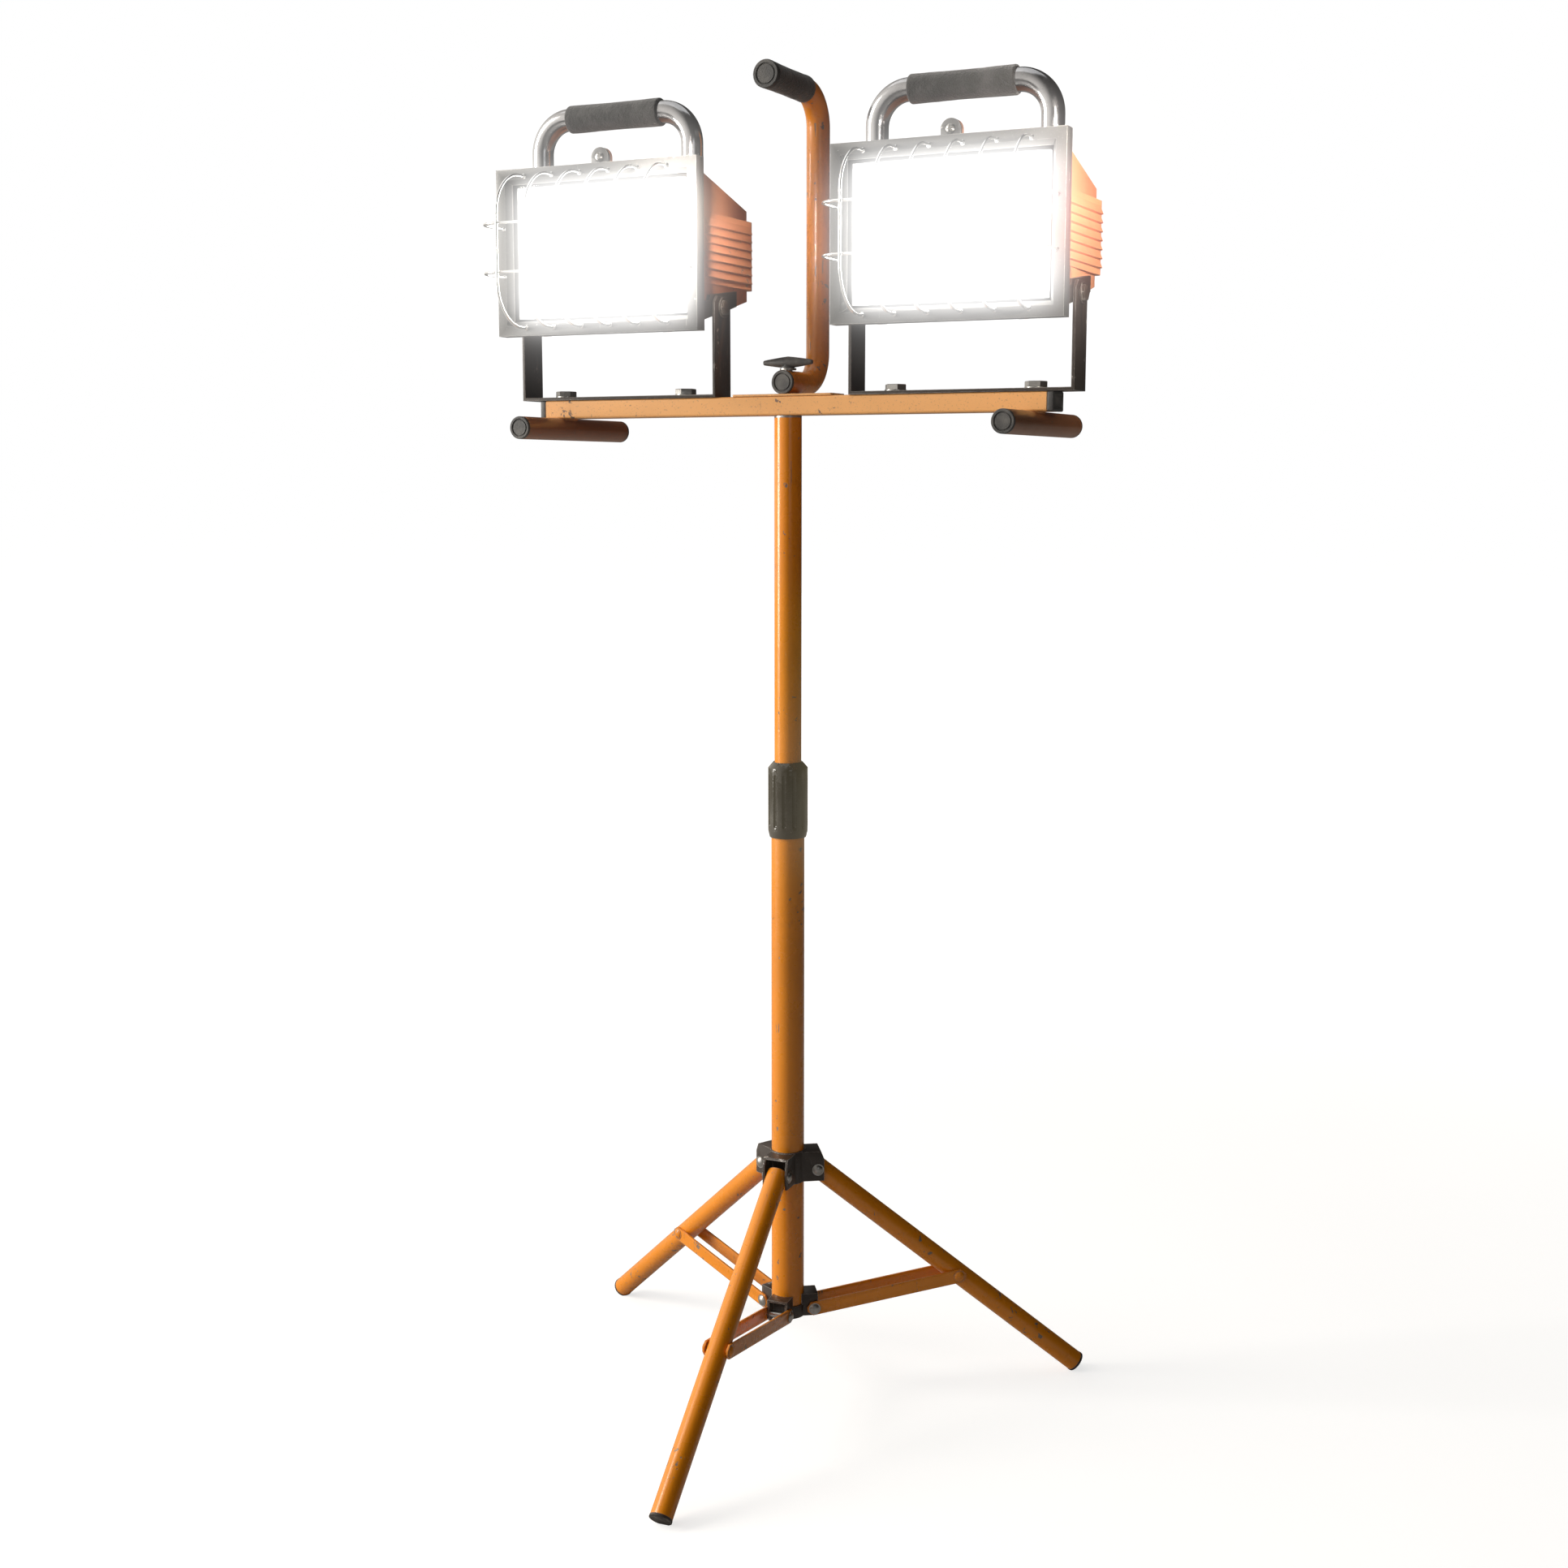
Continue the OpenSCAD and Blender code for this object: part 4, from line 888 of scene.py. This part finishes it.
# %% [markdown]
# ## Halogen tubes
# A double-ended halogen lamp is a quartz tube pinched flat at both ends, with a ceramic bush on each.
# Inside runs a coiled filament. The tube is spun, its pinches are flattened, and the coil is a curve
# of many turns that is turned into a mesh.


# %% Halogen tubes
def filament(length, coil, turns, wire):
    """A coil along X as a mesh, from a curve with a round section; all sizes in millimetres."""
    curve = bpy.data.curves.new("filament", "CURVE")
    curve.dimensions = "3D"
    curve.bevel_depth = wire * mm
    curve.bevel_resolution = 1
    line = curve.splines.new("POLY")
    count = turns * 10
    line.points.add(count)
    for i, point in enumerate(line.points):
        angle = 2 * math.pi * turns * i / count
        x = length * (i / count - 0.5)
        point.co = (x * mm, coil * math.cos(angle) * mm, coil * math.sin(angle) * mm, 1)
    holder = bpy.data.objects.new("filament", curve)
    bpy.context.scene.collection.objects.link(holder)
    bpy.context.view_layer.update()
    mesh = bpy.data.meshes.new_from_object(holder.evaluated_get(bpy.context.evaluated_depsgraph_get()))
    shape = bmesh.new()
    shape.from_mesh(mesh)
    bpy.data.objects.remove(holder)
    bpy.data.curves.remove(curve)
    bpy.data.meshes.remove(mesh)
    return shape


for side, way in sides:
    centre = middle("halogen_tube_" + side)
    half_tube = [(38, 6.0), (41, 5.9), (43.5, 5.0), (46, 3.8), (52, 3.6), (52, 0)]
    tube = turned([(-x, r) for x, r in reversed(half_tube)] + half_tube, 36)
    for vert in tube.verts:
        if abs(vert.co.z) > 45 * mm:
            vert.co.x *= 0.42
    lamp_shape = bmesh.new()
    add_part(lamp_shape, tube, aimed(centre, (1, 0, 0)))
    add_part(lamp_shape, filament(70, 1.1, 44, 0.22), Matrix.Translation(centre))
    for end in (-1, 1):
        bush = turned([(52, 0), (52, 4.2), (53, 4.5), (58, 4.5), (59, 4.0), (59, 0)], 28)
        add_part(lamp_shape, bush, aimed(centre, (end, 0, 0)))
    made = finish_piece("halogen_tube_" + side + "_lit", lamp_shape, "halogen_tube_" + side)
    print(made.name, len(made.data.polygons), "faces")

# %% [markdown]
# ## Cable glands
# The gland on the back of each head is empty. It has a hexagon that seats on the housing, a domed nut
# with grip ribs, and a mouth where a seal would close round a cord.

# %% Cable glands
for side, way in sides:
    low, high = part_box("cable_gland_" + side)
    centre = (low + high) / 2
    wall_y = high.y / mm - 21
    seat = aimed((centre.x, wall_y * mm, centre.z), (0, 1, 0))
    gland = bmesh.new()
    foot_outline = [(-6, 3.6), (-6, 6.5), (0, 6.5), (0, 8.5), (6, 8.5), (6, 3.6), (-6, 3.6)]
    add_part(gland, turned(foot_outline, 36), seat)
    for i in range(6):
        corner = block((-4.9 * mm, 7.2 * mm, 0.2 * mm), (4.9 * mm, 8.5 * mm, 6 * mm), 0.3)
        add_part(gland, corner, seat @ Matrix.Rotation(math.radians(60 * i), 4, "Z"))
    dome_outline = [(6, 3.6), (6, 7.0), (14, 7.0), (17, 6.7), (19.5, 5.9), (21, 4.8), (21, 4.2),
                    (19, 3.6), (6, 3.6)]
    add_part(gland, turned(dome_outline, 36), seat)
    for i in range(18):
        rib = block((-0.45 * mm, 6.8 * mm, 7 * mm), (0.45 * mm, 7.5 * mm, 14 * mm), 0.15, 1)
        add_part(gland, rib, seat @ Matrix.Rotation(math.radians(20 * i), 4, "Z"))
    made = finish_piece("cable_gland_" + side + "_ribbed", gland, "cable_gland_" + side)
    print(made.name, len(made.data.polygons), "faces")

# %% [markdown]
# ## Door screw and hinge pins
# One captive screw on the top lug keeps the glass door shut, and two pins along its lower edge let it
# swing. The screw has a domed head with two crossed slots: its crown is made of four quarters that
# stand a little apart.


# %% Door screw and hinge pins
def cross_screw(radius, height, length):
    """A pan head standing on Z = 0 with two crossed slots, its shank below."""
    rim = height * 0.45
    screw = turned([(-length, 0), (-length, 1.9), (0, 1.9), (0, radius), (rim, radius), (rim, 0)], 32, 0.15)
    for side_x in (-1, 1):
        for side_y in (-1, 1):
            crown = [(rim, 0), (rim, radius), (height * 0.8, radius * 0.8),
                     (height, radius * 0.5), (height, 0)]
            quarter = turned(crown, 32)
            corner = (side_x * 0.1 * radius * mm, side_y * 0.1 * radius * mm, 0)
            for normal in ((side_x, 0, 0), (0, side_y, 0)):
                everything = quarter.verts[:] + quarter.edges[:] + quarter.faces[:]
                bmesh.ops.bisect_plane(quarter, geom=everything, plane_co=corner, plane_no=normal,
                                       clear_inner=True)
                bmesh.ops.holes_fill(quarter, edges=quarter.edges)
            add_part(screw, quarter)
    return screw


for side, way in sides:
    node = "door_hardware_" + side
    low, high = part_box(node)
    hinge_at = Vector(joint["door_swing_" + side]["pos_m"])
    hardware = bmesh.new()
    lug_z = high.z - 4.2 * mm
    face_y = low.y + 2.8 * mm
    length = (high.y - face_y) / mm
    add_part(hardware, cross_screw(4.2, 2.7, length), aimed((hinge_at.x, face_y, lug_z), (0, -1, 0)))
    for end in (-1, 1):
        pin = turned([(59.7, 0), (59.7, 1.3), (60.1, 1.5), (68.3, 1.5), (68.7, 1.3), (68.7, 0)], 20)
        add_part(hardware, pin, aimed(hinge_at, (end, 0, 0)))
    made = finish_piece(node + "_turned", hardware, node)
    print(made.name, len(made.data.polygons), "faces")

# %% [markdown]
# ## Small screws of the side covers
# Each cover is held by one pan-head screw at the front of its flange.

# %% Cover screws
for side, way in sides:
    low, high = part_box("side_covers_" + side)
    screws = bmesh.new()
    for end in (-1, 1):
        face_x = (high.x if end > 0 else low.x) - end * 2.2 * mm
        seat = aimed((face_x, low.y + 9 * mm, (low.z + high.z) / 2 - 6 * mm), (end, 0, 0))
        add_part(screws, cross_screw(2.6, 1.3, 5), seat)
    made = finish_piece("cover_screws_" + side, screws, "side_covers_" + side, replaces=False, slot="zinc")
    print(made.name, len(made.data.polygons), "faces")

# %% [markdown]
# ## Weld seams
# The rest tubes, the carrying handle and its plate are welded to the crossbar and painted over. A seam
# is a bead that rises and sinks with each drop of metal: a thin tube along the joint whose rings swell
# and shrink in turn, a little differently each time.


# %% Weld seams
def bead(shape, start, end, radius, drop=1.9):
    """A rippled bead between two points; radius and the length of one drop in millimetres."""
    start, end = Vector(start), Vector(end)
    along = end - start
    rings = max(6, int(along.length / mm / drop * 4))
    outline = []
    for i in range(rings + 1):
        share = i / rings
        ripple = 0.82 + 0.18 * abs(math.sin(math.pi * share * along.length / mm / drop))
        taper = min(1.0, 5 * share, 5 * (1 - share)) ** 0.5 if 0 < share < 1 else 0.0
        wobble = 1 + random.uniform(-0.08, 0.08)
        outline.append((share * along.length / mm, radius * ripple * taper * wobble))
    add_part(shape, turned(outline, 10), aimed(start, along))


random.seed(41)
welds = bmesh.new()
bar_low, bar_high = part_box("crossbar")
for side, way in sides:
    x = rest_at[side] * mm
    for edge in (-1, 1):
        across = x + edge * 4.4 * mm
        level = bar_low.z - 0.7 * mm
        bead(welds, (across, bar_low.y + 1 * mm, level), (across, bar_high.y - 1 * mm, level), 1.7)
plate_low, plate_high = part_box("saddle_plate")
level = plate_low.z + 0.4 * mm
for edge_x in (plate_low.x, plate_high.x):
    bead(welds, (edge_x, plate_low.y + 3 * mm, level), (edge_x, plate_high.y - 3 * mm, level), 1.4)
made = finish_piece("bar_weld_seams", welds, "crossbar", replaces=False)
print(made.name, len(made.data.polygons), "faces")
handle_welds = bmesh.new()
level = plate_high.z + 0.6 * mm
for edge in (-1, 1):
    across = edge * 4.6 * mm
    bead(handle_welds, (across, -7 * mm, level), (across, plate_high.y - 1 * mm, level), 1.8)
made = finish_piece("handle_weld_seams", handle_welds, "handle_tube", replaces=False, slot="bar_paint")
print(made.name, len(made.data.polygons), "faces")

# %% [markdown]
# ## Joints of the wire guard
# Where an upright wire crosses a level one the two were pressed together hot, which leaves a small
# flattened lump, and each wire's foot sits in one where it meets the bezel.

# %% Wire guard joints
foot_outline = [(0, 0), (0, 2.6), (0.5, 2.4), (1.2, 1.8), (1.8, 1.35), (1.8, 0)]
for side, way in sides:
    low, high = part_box("wire_guard_" + side)
    centre = (low + high) / 2
    bezel_low, bezel_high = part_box("bezel_" + side)
    pitch = (bezel_high.x - bezel_low.x) / 7
    reach_x = (high.x - low.x) / 2 - 1.3 * mm
    reach_z = (high.z - low.z) / 2 - 1.3 * mm
    levels = (centre.z - 21.5 * mm, centre.z + 22 * mm)
    feet = [(centre.x + end * reach_x, z) for end in (-1, 1) for z in levels]
    lumps = bmesh.new()
    for i in range(6):
        x = centre.x + (i - 2.5) * pitch
        feet += [(x, centre.z - reach_z), (x, centre.z + reach_z)]
        for z in levels:
            lump = bmesh.new()
            bmesh.ops.create_icosphere(lump, subdivisions=2, radius=1.75 * mm)
            add_part(lumps, lump, Matrix.Translation((x, low.y + 2.6 * mm, z)))
    for x, z in feet:
        add_part(lumps, turned(foot_outline, 16), aimed((x, bezel_low.y - 0.05 * mm, z), (0, -1, 0)))
    made = finish_piece("guard_joints_" + side, lumps, "wire_guard_" + side, replaces=False)
    print(made.name, "joints and feet:", 12 + len(feet))

# %% [markdown]
# ## Floor and light
# A pale floor carries the feet's soft shadows. The key light stands at the front left, as the bright
# left edges of the tubes ask for, and a weaker one fills from the right. Two small ones close by, each
# narrowed to a beam, bring out the slats on the heads' sides. Glossy tubes show what they reflect, so
# the surroundings are bright on the left and dark on the right. The floor and the backdrop are made
# paler for the camera alone, with Light Path: if they lit the object as well, its dark sides would be
# washed out.

# %% Floor
floor_shape = bmesh.new()
bmesh.ops.create_circle(floor_shape, cap_ends=True, segments=96, radius=14)
floor_mesh = bpy.data.meshes.new("floor")
floor_shape.to_mesh(floor_mesh)
floor_shape.free()
tree, shader = material("pale_floor", Roughness=0.85)
where = add(tree, "TexCoord").outputs["Object"]
cloud = noise_at(tree, where, 0.4, 3.0)
seen = add(tree, "LightPath").outputs["Is Camera Ray"]
albedo = mix_colour(tree, cloud, (0.42, 0.415, 0.41, 1), (0.46, 0.455, 0.45, 1))
tree.links.new(albedo, shader.inputs["Base Color"])
shader.inputs["Emission Color"].default_value = (1, 1, 0.995, 1)
distance = add(tree, "VectorMath", {"operation": "LENGTH"}, Vector=where).outputs["Value"]
paler = math_node(tree, "MULTIPLY", step_mask(tree, distance, 0.6, 3.5), 0.32)
strength = math_node(tree, "MULTIPLY", seen, math_node(tree, "ADD", paler, 0.72))
tree.links.new(strength, shader.inputs["Emission Strength"])
floor_mesh.materials.append(made_materials["pale_floor"])
floor = bpy.data.objects.new("floor", floor_mesh)
bpy.context.scene.collection.objects.link(floor)
floor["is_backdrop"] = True
print("floor ready")

# %% Lights and surroundings
world = bpy.data.worlds.new("studio")
bpy.context.scene.world = world
world.use_nodes = True
tree = world.node_tree
sky = tree.nodes["Background"]
direction = add(tree, "TexCoord").outputs["Generated"]
split = add(tree, "SeparateXYZ", None, Vector=direction)
leftness = math_node(tree, "MULTIPLY", split.outputs[0], -1.0)
leftness = math_node(tree, "SUBTRACT", leftness, math_node(tree, "MULTIPLY", split.outputs[1], 0.35))
bright = step_mask(tree, leftness, -0.1, 0.95)
surroundings = mix_colour(tree, bright, (0.022, 0.019, 0.017, 1), (1.0, 0.95, 0.88, 1))
seen = add(tree, "LightPath").outputs["Is Camera Ray"]
tree.links.new(mix_colour(tree, seen, surroundings, (1, 1, 1, 1)), sky.inputs["Color"])
sky.inputs["Strength"].default_value = 1.0


def area_light(name, place, target, size, power, colour=(1, 1, 1), spread_angle=180):
    """A lamp that the camera doesn't see; its sides in metres, its power in watts."""
    data = bpy.data.lights.new(name, "AREA")
    data.shape = "RECTANGLE"
    data.size, data.size_y = size
    data.energy = power
    data.color = colour
    data.spread = math.radians(spread_angle)
    lamp_object = bpy.data.objects.new(name, data)
    aim_at = (Vector(target) - Vector(place)).to_track_quat("-Z", "Y").to_matrix().to_4x4()
    lamp_object.matrix_world = Matrix.Translation(place) @ aim_at
    lamp_object.visible_camera = False
    bpy.context.scene.collection.objects.link(lamp_object)


area_light("key", (-2.7, -1.5, 1.6), (0, 0, 0.6), (0.8, 2.4), 120, (1.0, 0.96, 0.90))
area_light("fill", (2.6, -2.8, 1.4), (0, 0, 0.7), (1.2, 1.2), 4)
area_light("overhead", (-0.4, 0.2, 3.6), (0, 0, 0.5), (2.4, 2.4), 14)
warm = (1.0, 0.92, 0.84)
area_light("side_left", (-0.02, -0.32, 1.14), (-0.11, 0.05, 1.09), (0.08, 0.08), 0.32, warm, 30)
area_light("side_right", (0.62, -0.42, 1.15), (0.27, 0.04, 1.11), (0.12, 0.12), 0.55, warm, 30)
bpy.context.scene.view_settings.view_transform = "Standard"

# %% [markdown]
# ## Glow of the lamps
# A camera pointed at a burning lamp shows a glow round it, because light scatters in the lens. The
# finished picture gets that glow in the compositor: what is brighter than white is cut out, blurred
# once narrowly and once more widely, and added back. The blurs are shares of the picture's width, so
# the glow stays the same at every size.

# %% Glow
scene = bpy.context.scene
scene.use_nodes = True
compositor = scene.node_tree
compositor.nodes.clear()


def combine(mode, first, second):
    """Mixes two pictures, or a picture and a plain grey value."""
    node = compositor.nodes.new("CompositorNodeMixRGB")
    node.blend_type = mode
    node.inputs[0].default_value = 1.0
    compositor.links.new(first, node.inputs[1])
    if isinstance(second, float):
        node.inputs[2].default_value = (second, second, second, 1)
    else:
        compositor.links.new(second, node.inputs[2])
    return node.outputs[0]


def spread(picture, share, strength):
    """A blurred and weakened copy of a picture; share is the blur's part of the picture's width."""
    reach = compositor.nodes.new("CompositorNodeRelativeToPixel")
    reach.data_type = "VECTOR"
    reach.reference_dimension = "X"
    reach.inputs[0].default_value = (share, share)
    compositor.links.new(picture, reach.inputs["Image"])
    blur = compositor.nodes.new("CompositorNodeBlur")
    blur.filter_type = "GAUSS"
    compositor.links.new(picture, blur.inputs["Image"])
    compositor.links.new(reach.outputs[1], blur.inputs["Size"])
    return combine("MULTIPLY", blur.outputs[0], strength)


glow_floor = 1.15
layers = compositor.nodes.new("CompositorNodeRLayers")
over_white = combine("LIGHTEN", combine("SUBTRACT", layers.outputs["Image"], glow_floor), 0.0)
lamps_alone = combine("DARKEN", over_white, 1.0)
glowing = combine("ADD", layers.outputs["Image"], spread(lamps_alone, 0.026, 1.4))
glowing = combine("ADD", glowing, spread(lamps_alone, 0.085, 0.62))
result_node = compositor.nodes.new("CompositorNodeComposite")
compositor.links.new(glowing, result_node.inputs["Image"])
print("glow nodes:", len(compositor.nodes))

# %% [markdown]
# The finished light has to be as large as the bare model. The two boxes are compared, and how much the finished
# one grows is printed.

seen_low, seen_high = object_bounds()
growth = (seen_high - seen_low) - (cad_high - cad_low)
print("box grows by, mm:", [round(c / mm, 2) for c in growth])
